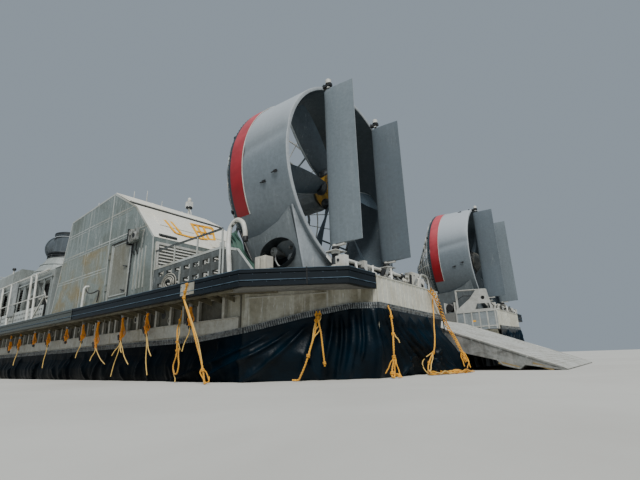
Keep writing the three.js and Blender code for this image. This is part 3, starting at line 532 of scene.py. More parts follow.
# Hull box. Welded aluminium buoyancy box on four landing rails, bare metal gone dull and dark
# underneath, where it rests on the ground.
weathered, step, given, out = group("weathered_plate", [
    ("Clean", "Color", (1, 1, 1, 1)), ("Stained", "Color", (0, 0, 0, 1)), ("Streak", "Color", (0, 0, 0, 1)),
    ("Patch", "Float", 1.0), ("Stain", "Float", 0.5), ("Streaks", "Float", 0.5), ("Scuffs", "Float", 0.4),
    ("Seed", "Float", 0.0)], [("Color", "Color"), ("Rough", "Float"), ("Height", "Float")])
spot = step.place(given["Seed"])
broad = step.noise(spot, given["Patch"], 6.0, 0.6, 0.6)
colour = step.mix(step.math("MULTIPLY", step.remap(broad, 0.44, 0.66), given["Stain"]),
                  given["Clean"], given["Stained"])
fall = step.noise(step.place(given["Seed"], (5.0, 5.0, 0.45)), 2.2, 5.0, 0.6, 0.2)
colour = step.mix(step.math("MULTIPLY", step.remap(fall, 0.52, 0.74), given["Streaks"]),
                  colour, given["Streak"])
speck = step.noise(spot, 17.0, 5.0, 0.7)
colour = step.mix(step.remap(speck, 0.35, 0.75, 0.0, 0.32), colour, (0.25, 0.25, 0.26, 1), "MULTIPLY")
thin = step.noise(step.place(given["Seed"], (22.0, 22.0, 2.6)), 1.6, 4.0, 0.7, 0.8)
patchy = step.remap(step.noise(spot, 2.3, 3.0), 0.46, 0.6)
scuff = step.math("MULTIPLY", step.math("MULTIPLY", step.remap(thin, 0.6, 0.68), patchy), given["Scuffs"])
step.put(out["Color"], step.mix(scuff, colour, (0.72, 0.72, 0.68, 1)))
step.put(out["Rough"], step.remap(step.math("ADD", broad, speck), 0.7, 1.3, 0.38, 0.72))
step.put(out["Height"], step.math("ADD", step.math("MULTIPLY", broad, 0.7),
                                  step.math("MULTIPLY", speck, 0.3)))

# Dust that settles on what faces up and the dirt that splashes up from the ground
settled, step, given, out = group("settled_dirt", [
    ("Surface", "Color", (1, 1, 1, 1)), ("Dust", "Color", (1, 1, 1, 1)), ("On Top", "Float", 0.4),
    ("Splash Top", "Float", 0.5), ("Splash", "Float", 0.4)], [("Color", "Color")])
facing = step.new("SeparateXYZ", {0: step.new("NewGeometry", {})["Normal"]})[2]
cloud = step.noise(step.place(5.1), 3.0, 5.0, 0.65)
resting = step.math("MULTIPLY", step.remap(facing, 0.2, 0.95), given["On Top"])
low = step.math("MULTIPLY", step.remap(step.along(2), given["Splash Top"], 0.0), given["Splash"])
mask = step.math("MULTIPLY", step.math("MAXIMUM", resting, low), step.remap(cloud, 0.25, 0.6, 0.25, 1.0))
step.put(out["Color"], step.mix(mask, given["Surface"], given["Dust"]))


def plate_finish(name, clean, stained, streak, patch=1.0, stain=0.5, streaks=0.5, scuffs=0.4, seed=0.0,
                 metal=0.0, bump=0.25, dust=0.25, splash=0.3, coat=0.0):
    """Sheet metal or paint left outdoors: stains, streaks, scuffs, dust and a bumpy surface."""
    plate = Finish(name)
    look = plate.placed(weathered, Clean=shade(*clean), Stained=shade(*stained), Streak=shade(*streak),
                        Patch=patch, Stain=stain, Streaks=streaks, Scuffs=scuffs, Seed=seed)
    dirt = plate.placed(settled, Surface=look["Color"], Dust=shade(132, 122, 104), On_Top=dust,
                        Splash_Top=0.9, Splash=splash)
    plate.wear(Base_Color=dirt["Color"], Roughness=look["Rough"], Metallic=metal, Coat_Weight=coat)
    plate.bump(look["Height"], bump, 0.012)
    return plate.made


def dress(finish, *names):
    for name in names:
        for slot in frame["nodes"][name].material_slots:
            slot.material = finish


def pair(name):
    return name + "_port", name + "_stbd"


hull_plate = plate_finish("hull_plate", (168, 165, 150), (118, 111, 86), (214, 212, 200),
                          patch=1.1, stain=0.8, streaks=0.65, scuffs=0.9, metal=0.3)
dress(hull_plate, "hull_box", *pair("side_shell"))


# Side frames. Upright tee bars, a doubler along the foot of the plating and lightening holes, all
# welded to the side shell. The bays between the bars are a darker plate.
class Weldment:
    """Plates, bars and tubes that make up one welded piece, placed from the stern edge."""

    def __init__(self, *finishes):
        self.points, self.faces, self.kinds, self.finishes, self.kind = [], [], [], finishes, 0

    def add(self, points, faces):
        first = len(self.points)
        self.points += [Vector(point) for point in points]
        self.faces += [tuple(first + i for i in face) for face in faces]
        self.kinds += [self.kind] * len(faces)

    def rings(self, rings):
        """A closed body through rings of equal point counts."""
        count = len(rings[0])
        faces = [(r * count + k, r * count + (k + 1) % count, (r + 1) * count + (k + 1) % count,
                  (r + 1) * count + k) for r in range(len(rings) - 1) for k in range(count)]
        last = (len(rings) - 1) * count
        faces += [tuple(reversed(range(count))), tuple(range(last, last + count))]
        self.add([point for ring in rings for point in ring], faces)

    def block(self, x, y, z):
        self.rings([[(x[0], y[0], h), (x[1], y[0], h), (x[1], y[1], h), (x[0], y[1], h)] for h in z])

    def bar(self, start, end, wide, deep, up=to_sky):
        """A flat bar from start to end, wide across and deep along its up direction."""
        start, end = Vector(start), Vector(end)
        along = (end - start).normalized()
        across = along.cross(Vector(up)).normalized() * wide / 2
        lift = across.cross(along).normalized() * deep / 2
        self.rings([[spot + across + lift, spot - across + lift, spot - across - lift, spot + across - lift]
                    for spot in (start, end)])

    def tube(self, route, radius, sides=10):
        self.add(*swept([Vector(point) for point in route], lambda share: [
            (radius * cos(a), radius * sin(a))
            for a in (2 * pi * k / sides for k in range(sides))]))

    def turned(self, centre, axis, profile, sides, closed=False):
        """A profile of (along, radius) points turned about an axis. A closed one is a ring."""
        centre, axis = Vector(centre), Vector(axis).normalized()
        first = axis.cross(Vector(to_sky) if abs(axis.z) < 0.9 else Vector(to_bow)).normalized()
        second = axis.cross(first)
        loops = [[centre + axis * along + radius * (first * cos(a) + second * sin(a))
                  for a in (2 * pi * k / sides for k in range(sides))] for along, radius in profile]
        if not closed:
            self.rings(loops)
            return
        loops.append(loops[0])
        count = sides
        faces = [(r * count + k, r * count + (k + 1) % count,
                  ((r + 1) % (len(loops) - 1)) * count + (k + 1) % count,
                  ((r + 1) % (len(loops) - 1)) * count + k)
                 for r in range(len(loops) - 1) for k in range(count)]
        self.add([point for loop in loops[:-1] for point in loop], faces)

    def slab(self, outline, push):
        """A plate of any outline, pushed out by its thickness as a vector."""
        push = Vector(push)
        self.rings([[Vector(point) for point in outline], [Vector(point) + push for point in outline]])

    def piece(self, name, body="hull", slot=None, both=False, bevel=0.0, sharp=35.0, side=1):
        """The finished piece. both adds its mirror image, and side -1 builds it to starboard."""
        points = [Vector((p.x, p.y * side, p.z)) for p in self.points]
        faces, kinds = list(self.faces), list(self.kinds)
        if both:
            points = points + [Vector((p.x, -p.y, p.z)) for p in points]
            faces += [tuple(len(self.points) + i for i in reversed(face)) for face in self.faces]
            kinds += self.kinds
        made = mesh_piece(name, [at(*point) for point in points], faces, self.finishes[0], body, slot, sharp)
        for finish in self.finishes[1:]:
            made.data.materials.append(finish)
        if len(made.data.polygons) == len(kinds):
            made.data.polygons.foreach_set("material_index", kinds)
        if bevel:
            edge = made.modifiers.new("rounded_edges", "BEVEL")
            edge.width, edge.segments, edge.limit_method = bevel, 2, "ANGLE"
            edge.harden_normals = True
        return made


dark_bay = plate_finish("dark_bay", (84, 82, 70), (58, 56, 46), (118, 114, 98), patch=1.6,
                        stain=0.8, streaks=0.4, scuffs=0.2, metal=0.2, seed=3.0)
light_bar = plate_finish("light_bar", (176, 174, 163), (132, 124, 104), (206, 204, 194),
                         patch=3.0, stain=0.6, streaks=0.5, scuffs=0.7, metal=0.3, seed=4.0)
black_hole = plate_finish("black_hole", (20, 21, 22), (12, 12, 12), (40, 40, 40))
side_y = 6.15
frame_spots = [2.15, 2.845, 3.3, 3.72, 4.23, 4.53, 4.93, 5.35, 5.89, 6.17, 6.47, 6.88, 7.27, 7.61, 8.03]
frame_spots += [8.03 + 0.42 * i for i in range(1, 35)]
frames = Weldment(light_bar, dark_bay, black_hole)
for spot in frame_spots:
    frames.block((spot - 0.006, spot + 0.006), (side_y, side_y + 0.07), (1.0, 1.35))
    frames.block((spot - 0.03, spot + 0.03), (side_y + 0.062, side_y + 0.074), (1.0, 1.35))
frames.block((1.82, 22.6), (side_y, side_y + 0.022), (0.775, 1.0))
frames.block((1.82, 22.6), (side_y, side_y + 0.05), (0.985, 1.0))
frames.block((1.82, 22.6), (side_y, side_y + 0.03), (1.33, 1.37))
frames.kind = 1
frames.block((2.15, 22.6), (side_y, side_y + 0.004), (1.0, 1.34))
frames.block((1.775, 1.8), (side_y, side_y + 0.012), (0.8, 1.36))
for spot, height, reach, rim in [(5.14, 1.22, 0.05, 1), (4.74, 1.22, 0.05, 1), (4.06, 1.22, 0.075, 0),
                                 (3.83, 1.1, 0.05, 1)] + [(6.3 + 0.84 * i, 1.2, 0.05, 1) for i in range(19)]:
    # The lightening holes are black discs: painted shade for the dark inside.
    frames.kind = 2
    frames.turned((spot, side_y, height), to_port, [(0.0, reach), (0.006, reach)], 20)
    frames.kind = 0
    if rim:
        frames.turned((spot, side_y, height), to_port, [
            (0.0, reach + 0.02), (0.012, reach + 0.018), (0.012, reach), (0.0, reach)], 20, closed=True)
frames.piece("side_frames", slot="bare_aluminium", both=True)


# Overhang ribs. Brackets under the deck margin carry the fender, one every 0.3 m along the sides
# and a few raking ones at the corner, greenish brown.
rib_metal = plate_finish("rib_metal", (110, 104, 82), (58, 52, 38), (140, 136, 114), patch=2.2,
                         stain=0.8, streaks=0.2, scuffs=0.2, metal=0.1, seed=6.0)
ribs = Weldment(rib_metal, light_bar)
for i in range(70):
    spot = 1.95 + 0.3 * i
    ribs.slab([(spot, side_y, 1.25), (spot, side_y, 1.372), (spot, 6.5, 1.372), (spot, 6.5, 1.335)],
              (0.02, 0, 0))
ribs.block((1.6, 22.7), (6.478, 6.498), (1.335, 1.3725))
for i in range(9):
    spot = 1.25 + 0.2 * i
    ribs.bar((spot, 5.86 + 0.12 * min(i, 4), 1.36), (spot + 0.75, 6.32 + 0.02 * i, 1.36), 0.05, 0.024)

# A flange and the weld runs of the corner plates, bright where they have been ground
corner, stern_end = Vector((1.7, side_y, 0)), Vector((0.0, 4.85, 0))
chamfer_out = Vector((-1.3, 1.7, 0)).normalized()


def on_chamfer(share, z, proud):
    return corner + (stern_end - corner) * share + chamfer_out * proud + Vector((0, 0, z))


ribs.kind = 1
ribs.bar(on_chamfer(0.0, 1.28, 0.012), on_chamfer(0.62, 1.33, 0.012), 0.03, 0.014)
rng = np.random.default_rng(4)
for share, low, high, wide in ((0.02, 0.8, 1.27, 0.02), (0.13, 0.86, 1.28, 0.012), (0.62, 1.08, 1.36, 0.03),
                               (0.97, 1.14, 1.36, 0.035), (0.3, 0.95, 1.29, 0.01), (0.45, 1.0, 1.31, 0.014)):
    ribs.bar(on_chamfer(share, low, 0.002), on_chamfer(share + 0.004, high, 0.002), wide, 0.01, chamfer_out)
ribs.piece("overhang_ribs", slot="bare_aluminium", both=True)


# Deck margins and stern plate. The side decks are painted plate with a worn non-slip surface, and
# the transom is bright bare plate with a row of upright weld runs that have rusted in streaks.
deck_paint = plate_finish("deck_paint", (122, 122, 118), (92, 90, 84), (150, 148, 140),
                          patch=1.1, stain=0.7, streaks=0.1, scuffs=0.5, dust=0.5, seed=8.0)
dress(deck_paint, *pair("side_deck"), "cargo_deck")
transom_plate = plate_finish("transom_plate", (224, 222, 208), (176, 168, 144), (240, 239, 230),
                             patch=1.8, stain=0.6, streaks=0.6, scuffs=0.8, metal=0.2, seed=11.0)
dress(transom_plate, *pair("transom"))
welds = Weldment(transom_plate)
for i in range(16):
    across = 2.42 + 0.16 * i
    welds.bar((-0.003, across, 1.15), (-0.003, across + 0.01, 1.58), 0.014 + 0.012 * (i % 2), 0.012, to_bow)
welds.block((-0.012, 0.03), (2.3, 4.86), (1.585, 1.6))
welds.block((-0.014, 0.0), (2.31, 4.82), (1.12, 1.145))
welds.bar((0.03, 4.87, 1.13), (0.03, 4.87, 1.36), 0.05, 0.05, to_bow)
welds.piece("transom_welds", slot="bare_aluminium", both=True)


# Fender. Navy rubber moulding bolted round the deck edge in lengths of seven metres, with a lip
# above, thin pale beads below the middle and along the lip's top edge, painted highlights where those
# edges catch the light, and a row of countersunk bolts along each groove.
rubber = Finish("fender_rubber")
look = rubber.placed(grime, Clean=shade(2, 13, 21), Dirty=shade(9, 26, 37), Size=1.6, Amount=0.4)
chalk = rubber.remap(rubber.along(0), stern_x + 7.3, stern_x + 7.36, 0.0, 0.62)
dirt = rubber.placed(settled, Surface=rubber.mix(chalk, look["Color"], shade(88, 93, 88)),
                     Dust=shade(92, 96, 98), On_Top=0.25, Splash=0.0)
rubber.wear(Base_Color=dirt["Color"], Roughness=0.5, Specular_IOR_Level=0.3)
rubber.bump(rubber.placed(grain, Size=130.0, Coarse=9.0)["Height"], 0.25, 0.004)
dress(rubber.made, *pair("fender"))
highlight_bead_rubber = grimy("highlight_bead_rubber", (86, 108, 124), (30, 44, 58), 5.0, 0.9, 0.5).made

fender_line = [(0.0, 4.86), (0.016, 5.63), (1.327, 6.607), (22.85, 6.607), (24.65, 4.98), (24.65, 4.45)]


def along_line(line, spacing, start):
    """Evenly spaced (point, outward direction) pairs along a line in plan."""
    left = start
    for a, b in zip(line, line[1:]):
        a, b = Vector(a), Vector(b)
        way = (b - a).normalized()
        run = (b - a).length
        while left < run:
            spot = a + way * left
            yield Vector((spot.x, spot.y, 0)), Vector((-way.y, way.x, 0))
            left += spacing
        left -= run


# Pale beads along the fender edges: painted highlights.
bead = Weldment(highlight_bead_rubber, black_hole)
for height, proud, deep in ((1.4585, 0.006, 0.009), (1.6245, 0.004, 0.008)):
    for a, b in zip(fender_line, fender_line[1:]):
        a, b = Vector((*a, height)), Vector((*b, height))
        out = Vector((-(b - a).y, (b - a).x, 0)).normalized() * (proud / 2 - 0.004)
        bead.bar(a + out, b + out, deep + 0.008, deep)
bead.kind = 1
for spot, out in along_line(fender_line, 7.0, 1.39):
    bead.bar(spot + Vector((0, 0, 1.376)), spot + Vector((0, 0, 1.635)), 0.02, 0.018,
             out.cross(Vector(to_sky)))
bead.piece("fender_bead", slot="navy_rubber", both=True)

bolt_dark = plate_finish("bolt_dark", (52, 66, 78), (30, 38, 46), (90, 100, 106), patch=9.0,
                         stain=0.7, streaks=0.0, scuffs=0.0, metal=0.4, seed=13.0)
bolt_steel = plate_finish("bolt_steel", (150, 152, 150), (92, 84, 70), (180, 180, 176), patch=9.0,
                          stain=0.7, streaks=0.0, scuffs=0.0, metal=0.7, seed=12.0)
bolts = Weldment(bolt_dark)
for height in (1.432, 1.548):
    for spot, out in along_line(fender_line, 0.21, 0.1):
        bolts.turned(spot + Vector((0, 0, height)), out, [(-0.004, 0.009), (0.004, 0.009), (0.006, 0.005)],
                     8)
bolts.piece("fender_bolts", slot="bare_aluminium", both=True)
placard = Weldment(light_bar)
placard.block((2.44, 2.83), (6.607, 6.611), (1.40, 1.60))
placard.piece("blank_placard", slot="white_paint", bevel=0.002)


# Clamp strip. A dark steel strip nips the skirt's edge against the hull, held by close-set tabs
# with a bolt in each, their galvanising worn to a patchy white.
strip_steel = plate_finish("strip_steel", (56, 60, 63), (30, 32, 34), (116, 120, 120), patch=6.0,
                           stain=0.6, streaks=0.3, scuffs=0.6, metal=0.4, seed=14.0)
tab_steel = plate_finish("tab_steel", (138, 142, 142), (52, 54, 54), (200, 200, 196), patch=14.0,
                         stain=1.0, streaks=0.2, scuffs=0.3, metal=0.45, seed=15.0)
dress(strip_steel, *pair("skirt_clamp_strip"))
strip_points = [(0, 2.35, 1.055), (0, 3.0, 1.065), (0, 3.9, 1.085), (0, 4.85, 1.105), (0.365, 5.129, 1.100),
                (0.97, 5.592, 0.97), (1.7, 6.15, 0.77), (2.84, 6.15, 0.695), (22.7, 6.15, 0.70),
                (24.3, 4.77, 0.95)]
tabs = Weldment(tab_steel, bolt_steel)
left = 0.05
for a, b in zip(strip_points, strip_points[1:]):
    a, b = Vector(a), Vector(b)
    way, run = (b - a).normalized(), (b - a).length
    out = Vector((-way.y, way.x, 0)).normalized()
    lift = out.cross(way) * (1 if out.cross(way).z > 0 else -1)
    tabs.kind = 0
    for edge in (-0.047, 0.047):
        tabs.bar(a + out * 0.03 + lift * edge, b + out * 0.03 + lift * edge, 0.008, 0.01, out)
    apart = 0.036 if a.x < 2.0 else 0.055
    while left < run:
        spot = a + way * left + out * 0.028
        tabs.kind = 0
        tabs.rings([[spot + way * p + lift * q + out * depth for p, q in (
            (-0.01, -0.046), (0.01, -0.046), (0.009, 0.046), (-0.009, 0.046))] for depth in (-0.002, 0.009)])
        tabs.kind = 1
        tabs.turned(spot + out * 0.008, out, [(0.0, 0.009), (0.014, 0.007)], 6)
        left += apart
    left -= run
tabs.piece("clamp_tabs", slot="dark_metal", both=True)


# Skirt. Heavy navy rubberised fabric, hung from the clamp strip and collapsed on the ground now
# that the fans are still. It gathers in long folds and swells into a lobe beside the stern ramp.
# The lengths along the sides take a duller copy of the cloth than the stern's, and all of it is painted
# near-black forward of there: painted shade for the shadow along the sides.
skirt_finish = {}
# The side copy is duller than the stern's: part of the painted shade along the sides.
for part, gloss in (("stern", 0.15), ("side", 0.02)):
    cloth = Finish(f"skirt_cloth_{part}")
    look = cloth.placed(grime, Clean=shade(0, 12, 20), Dirty=shade(3, 31, 46), Size=1.3, Amount=0.8,
                        Seed=21.0)
    dirt = cloth.placed(settled, Surface=look["Color"], Dust=shade(10, 18, 24), On_Top=0.03, Splash_Top=0.05,
                        Splash=0.05)
    # Near-black forward of the stern corner: painted shade.
    painted_shade_forward = cloth.remap(cloth.along(0), stern_x + 1.1, stern_x + 2.6, 0.0, 0.85)
    cloth.wear(Base_Color=cloth.mix(painted_shade_forward, dirt["Color"], shade(2, 4, 6)), Roughness=0.4,
               Specular_IOR_Level=gloss)
    cloth.bump(cloth.placed(grain, Size=34.0, Coarse=4.0, Share=0.25)["Height"], 0.45, 0.03)
    skirt_finish[part] = cloth.made

# Stations round the port side: x, y, height of the strip's middle, then how far the cloth stands
# off the hull at its top, at 0.75, 0.45 and 0.15 of its height, and at the hem
skirt_stations = [
    (0, 2.35, 1.055, 0.04, 0.09, 0.35, 0.56, 0.57), (0, 3.0, 1.065, 0.04, 0.11, 0.30, 0.38, 0.38),
    (0, 3.9, 1.085, 0.04, 0.12, 0.21, 0.22, 0.18), (0, 4.85, 1.105, 0.04, 0.11, 0.17, 0.16, 0.12),
    (0.365, 5.129, 1.10, 0.04, 0.11, 0.18, 0.17, 0.12), (0.97, 5.592, 0.97, 0.04, 0.11, 0.19, 0.17, 0.11),
    (1.7, 6.15, 0.77, 0.04, 0.11, 0.20, 0.17, 0.11), (2.84, 6.15, 0.695, 0.04, 0.12, 0.20, 0.18, 0.11),
    (22.7, 6.15, 0.70, 0.04, 0.12, 0.20, 0.18, 0.11), (24.3, 4.77, 0.95, 0.06, 0.26, 0.48, 0.56, 0.52),
    (24.3, 0, 0.95, 0.06, 0.30, 0.56, 0.66, 0.64)]
levels = np.array([0.0, 0.25, 0.55, 0.85, 1.0])
cloth_rows = 46
down = np.linspace(0, 1, cloth_rows)


def fold_crest(offset, width):
    """A fold's section: a round crest with its sides falling away to flat cloth."""
    return np.exp(-np.abs(offset / width) ** 1.6)


def folded(s, t, folds, reach, seed):
    """How far the cloth stands out at s along and t down it. Each fold has its place, how far it
    wanders on the way down, width, depth, and where it starts and ends. Fine creases come last."""
    shape = np.zeros_like(s)
    for place, wander, width, depth, start, end in folds:
        centre = place + wander * t ** 1.3 + 0.03 * np.sin(5 * t + place * 3)
        shown = np.clip((t - start) / 0.15 + (start <= 0), 0, 1) * np.clip((end - t) / 0.2 + (end >= 1), 0,
                                                                           1)
        shape += depth * fold_crest(s - centre, width * (0.6 + 0.8 * t)) * shown
    rng = np.random.default_rng(seed)
    for octave in range(4):
        pitch = 1.1 / 1.9 ** octave
        number = int(reach / pitch) + 4
        places = np.cumsum(rng.uniform(0.5, 1.5, number)) * pitch
        leans = rng.uniform(-0.5, 0.5, number) / (1 + octave)
        sizes = rng.uniform(0.1, 1.0, number) * 0.022 / 1.5 ** octave
        for place, lean_by, size in zip(places, leans, sizes):
            shape += size * fold_crest(s - place - lean_by * t - 0.05 * np.sin(3 * t + place * 7),
                                       0.1 * pitch + 0.02) * np.minimum(1, 2.2 * t)
    return shape * np.clip(t / 0.10, 0, 1) ** 0.8


# The stern's folds, from the ramp lobe to the corner: pulls that fan out from the corner's top
# across the transom, upright pleats on the chamfer and long slack arcs that run forward
stern_folds = [(0.2, 0.1, 0.10, 0.07, 0.1, 1.1), (2.44, -0.3, 0.03, 0.06, 0.0, 1.1),
               (2.38, -0.6, 0.03, 0.065, 0.0, 1.1), (2.3, -0.9, 0.03, 0.06, 0.0, 1.1),
               (2.15, -1.1, 0.035, 0.06, 0.0, 1.1), (1.9, -1.15, 0.035, 0.05, 0.02, 1.1),
               (1.5, -0.9, 0.04, 0.05, 0.05, 1.1), (1.1, -0.6, 0.05, 0.05, 0.05, 1.1),
               (0.7, -0.2, 0.05, 0.05, 0.0, 1.1), (2.56, 0.05, 0.05, 0.08, 0.0, 1.1),
               (2.74, 0.16, 0.035, 0.05, 0.0, 0.85), (2.92, 0.12, 0.06, 0.09, 0.0, 1.1),
               (3.12, 0.05, 0.04, 0.06, 0.05, 1.1), (3.27, 0.12, 0.05, 0.06, 0.0, 1.1),
               (3.46, 0.3, 0.05, 0.06, 0.0, 1.1), (3.62, 1.0, 0.08, 0.06, 0.1, 1.1),
               (3.75, 1.9, 0.09, 0.06, 0.15, 1.1), (4.1, 2.4, 0.12, 0.05, 0.1, 1.1),
               (0.35, 0.9, 0.04, 0.035, 0.5, 1.1), (1.2, 0.8, 0.04, 0.04, 0.6, 1.1),
               (3.9, -0.4, 0.05, 0.03, 0.5, 1.1)]
side_folds = [(5.2 + 0.62 * i + 0.25 * sin(4.3 * i), 0.3 * sin(2.1 * i), 0.06 + 0.03 * sin(1.3 * i),
               0.03 + 0.025 * sin(3.1 * i), 0.05 + 0.2 * (i % 3), 1.1) for i in range(33)]
bow_folds = [(26.0 + 0.5 * i, 0.1 * sin(1.7 * i), 0.14, 0.08, 0.05, 1.1) for i in range(14)]

plan = np.array([(row[0], row[1]) for row in skirt_stations], float)
runs = np.concatenate([[0], np.cumsum(np.hypot(*np.diff(plan, axis=0).T))])
joints_at = runs[[0, 6, 8, 10]]
stretches = [np.arange(0, joints_at[1], 0.014), np.arange(joints_at[1], joints_at[1] + 2.5, 0.02),
             np.arange(joints_at[1] + 2.5, joints_at[3], 0.045), np.array([joints_at[3]])]
along = np.concatenate(stretches)
s, t = np.meshgrid(along, down, indexing="ij")


def at_station(k):
    return np.interp(along, runs, [row[k] for row in skirt_stations])


off = np.stack([np.interp(down, levels, row) for row in np.stack([at_station(k) for k in range(3, 8)], 1)])
soften = np.hanning(13)[1:-1] / np.hanning(13).sum()
padded = np.pad(off, ((0, 0), (5, 5)), mode="edge")
top_edge, off = off[:, 0].copy(), np.stack([np.convolve(row, soften, "valid") for row in padded])
off[:, 0] = top_edge
solid = off + 0.014
slacker = np.exp(-((s - 1.2) / 1.0) ** 2)
slack = (0.085 + 0.05 * slacker) * np.clip(t / 0.25, 0, 1)
off = np.minimum(off - slack + (1.25 + 0.8 * slacker) * folded(s, t, stern_folds + side_folds + bow_folds,
                                                               runs[-1], 5), solid)
plan_at = np.stack([np.interp(along, runs, plan[:, k]) for k in (0, 1)], 1)
way = np.diff(plan_at, axis=0, append=2 * plan_at[-1:] - plan_at[-2:-1])
way /= np.linalg.norm(way, axis=1)[:, None]
turned_way, rounded = way.copy(), plan_at.copy()
for _ in range(90):
    for smoothed in (turned_way, rounded):
        smoothed[1:-1] = (smoothed[:-2] + smoothed[1:-1] + smoothed[2:]) / 3
turned_way /= np.linalg.norm(turned_way, axis=1)[:, None]
turned_way[-20:] = (0, -1)
height = (at_station(2) - 0.045)[:, None] * (1 - t)
height = np.maximum(height, 0.006)
lower = np.clip(3 * t, 0, 1)
reach_x = plan_at[:, 0:1] * (1 - lower) + rounded[:, 0:1] * lower - turned_way[:, 1:2] * off
reach_y = plan_at[:, 1:2] * (1 - lower) + rounded[:, 1:2] * lower + turned_way[:, 0:1] * off


def grid_faces(rows, columns):
    return [(i * columns + k, (i + 1) * columns + k, (i + 1) * columns + k + 1, i * columns + k + 1)
            for i in range(rows - 1) for k in range(columns - 1)]


def cloth_piece(name, x, y, z, node_name, flat, rests_on):
    """A sheet of skirt cloth through a grid of places, standing for a node of the frame."""
    faces = grid_faces(*x.shape)
    mesh = bpy.data.meshes.new(name)
    mesh.from_pydata(np.stack([x + stern_x, y, z], 2).reshape(-1, 3).tolist(), [], faces)
    mesh.polygons.foreach_set("use_smooth", [True] * len(faces))
    mesh.materials.append(skirt_finish["stern" if "stern" in name else "side"])
    cloth = bpy.data.objects.new(name, mesh)
    bpy.context.scene.collection.objects.link(cloth)
    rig.ride(cloth, "hull")
    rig.slot(cloth, "skirt_rubber")
    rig.replaces(cloth, node_name)
    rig.sheet(cloth, flat=flat, held="gathered", rests_on=rests_on)


for side, hand in sides:
    for part, first, last in (("stern", 0, 1), ("side", 1, 2), ("bow", 2, 3)):
        chosen = np.where((along >= joints_at[first] - 1e-6) & (along <= joints_at[last] + 0.03))[0]
        x, y, z = (grid[chosen] for grid in (reach_x, reach_y, height))
        drop = np.mean(np.sum(np.hypot(np.diff(off[chosen], axis=1), np.diff(z, axis=1)), axis=1))
        length = along[chosen[-1]] - along[chosen[0]]
        cloth_piece(f"skirt_{part}_cloth_{side}", x, hand * y, z, "skirt_bow" if part == "bow"
                    else f"skirt_{part}_{side}", (round(float(length) * 1.06, 2), round(float(drop), 2)),
                    [f"skirt_clamp_strip_{side}"])

# The seal curtain across the stern opening, hung from the hull below the ramp
across, level = np.meshgrid(np.linspace(-2.33, 2.33, 200), np.linspace(0, 1, 24), indexing="ij")
swing = folded(across + 3, level, [(0.8 + 0.42 * i, 0.1 * sin(3 * i), 0.06, 0.05, 0.0, 1.1)
                                   for i in range(11)], 6, 8)
curtain_x = np.interp(level, [0, 0.25, 1], [0.05, -0.05, -0.105]) - 0.6 * swing * np.minimum(1, 2 * level)
curtain_z = np.interp(level, [0, 0.25, 1], [0.385, 0.355, 0.006])
cloth_piece("stern_seal_cloth", curtain_x, across, curtain_z, "stern_seal", (4.8, 0.47), ["stern_seal"])


# Stern ramp. Welded aluminium box panel on a barrel hinge, its sides scuffed down to bright metal,
# with tread bars across its upper face and a thin steel lip that has been bent on the ground.
ramp_metal = plate_finish("ramp_metal", (146, 148, 146), (84, 84, 80), (206, 206, 202), patch=4.5,
                          stain=0.9, streaks=0.3, scuffs=1.0, metal=0.25, seed=18.0, dust=0.5, splash=0.15)
tread_metal = plate_finish("tread_metal", (214, 214, 208), (158, 154, 144), (232, 232, 228),
                           patch=2.6, stain=0.6, streaks=0.2, scuffs=0.7, metal=0.15, seed=19.0, dust=0.2)
rubbed_ochre = plate_finish("rubbed_ochre", (150, 122, 60), (98, 80, 46), (190, 176, 130), patch=5.0,
                            stain=0.7, streaks=0.2, scuffs=0.8, seed=20.0)
dress(ramp_metal, "stern_ramp")
bow_ramp_metal = plate_finish("bow_ramp_metal", (146, 148, 146), (112, 110, 102), (196, 196, 192),
                              patch=0.9, stain=0.7, streaks=0.7, scuffs=0.8, metal=0.25, seed=88.0,
                              dust=0.3, splash=0.15)
dress(bow_ramp_metal, "bow_ramp")


def on_ramp(pin_x, pin_z, angle, flip):
    """Places on a ramp: s along it from the hinge, y across and w out of its upper face."""
    run, rise = cos(radians(angle)), sin(radians(angle))
    return lambda s, y, w: (pin_x + s * run - flip * w * rise, y, pin_z + s * rise + flip * w * run)


def across_ramp(build, spot, outline, y0, y1):
    """A bar across a ramp, of a given (s, w) outline."""
    build.rings([[spot(s, y, w) for s, w in outline] for y in (y0, y1)])


stern_spot = on_ramp(1.23, 1.2, 200.9, -1)
treads = Weldment(tread_metal, ramp_metal, rubbed_ochre)
across_ramp(treads, stern_spot, [(0.19, 0.095), (3.47, 0.095), (3.47, 0.099), (0.19, 0.099)], -2.24, 2.24)
for i in range(33):
    s = 0.24 + 0.1 * i
    across_ramp(treads, stern_spot, [(s - 0.012, 0.098), (s + 0.012, 0.098), (s + 0.005, 0.11),
                                     (s - 0.005, 0.11)], -2.2, 2.2)
for y in (-2.22, 2.22):
    across_ramp(treads, stern_spot, [(0.2, 0.096), (3.46, 0.096), (3.46, 0.108), (0.2, 0.108)], y - 0.025,
                y + 0.025)
across_ramp(treads, stern_spot, [(3.44, 0.1), (3.53, 0.09), (3.548, 0.088), (3.545, 0.094), (3.44, 0.108)],
            -2.24, 2.24)
treads.kind = 1
side_edge = [(0.72, -0.222), (1.71, -0.23), (2.43, -0.14), (2.55, -0.195), (2.84, -0.162), (2.9, -0.06),
             (3.46, 0.06)]
for y in (-2.257, 2.257):
    for (s0, w0), (s1, w1) in zip(side_edge, side_edge[1:]):
        treads.bar(stern_spot(s0, y, w0), stern_spot(s1, y, w1), 0.012, 0.03)
    treads.bar(stern_spot(0.25, y, 0.078), stern_spot(3.46, y, 0.084), 0.012, 0.022)
    for s, w in ((0.72, -0.2), (1.3, -0.21), (1.9, -0.18), (2.44, -0.12), (2.9, -0.05)):
        treads.bar(stern_spot(s, y, 0.07), stern_spot(s, y, w), 0.008, 0.03, to_bow)
treads.kind = 2
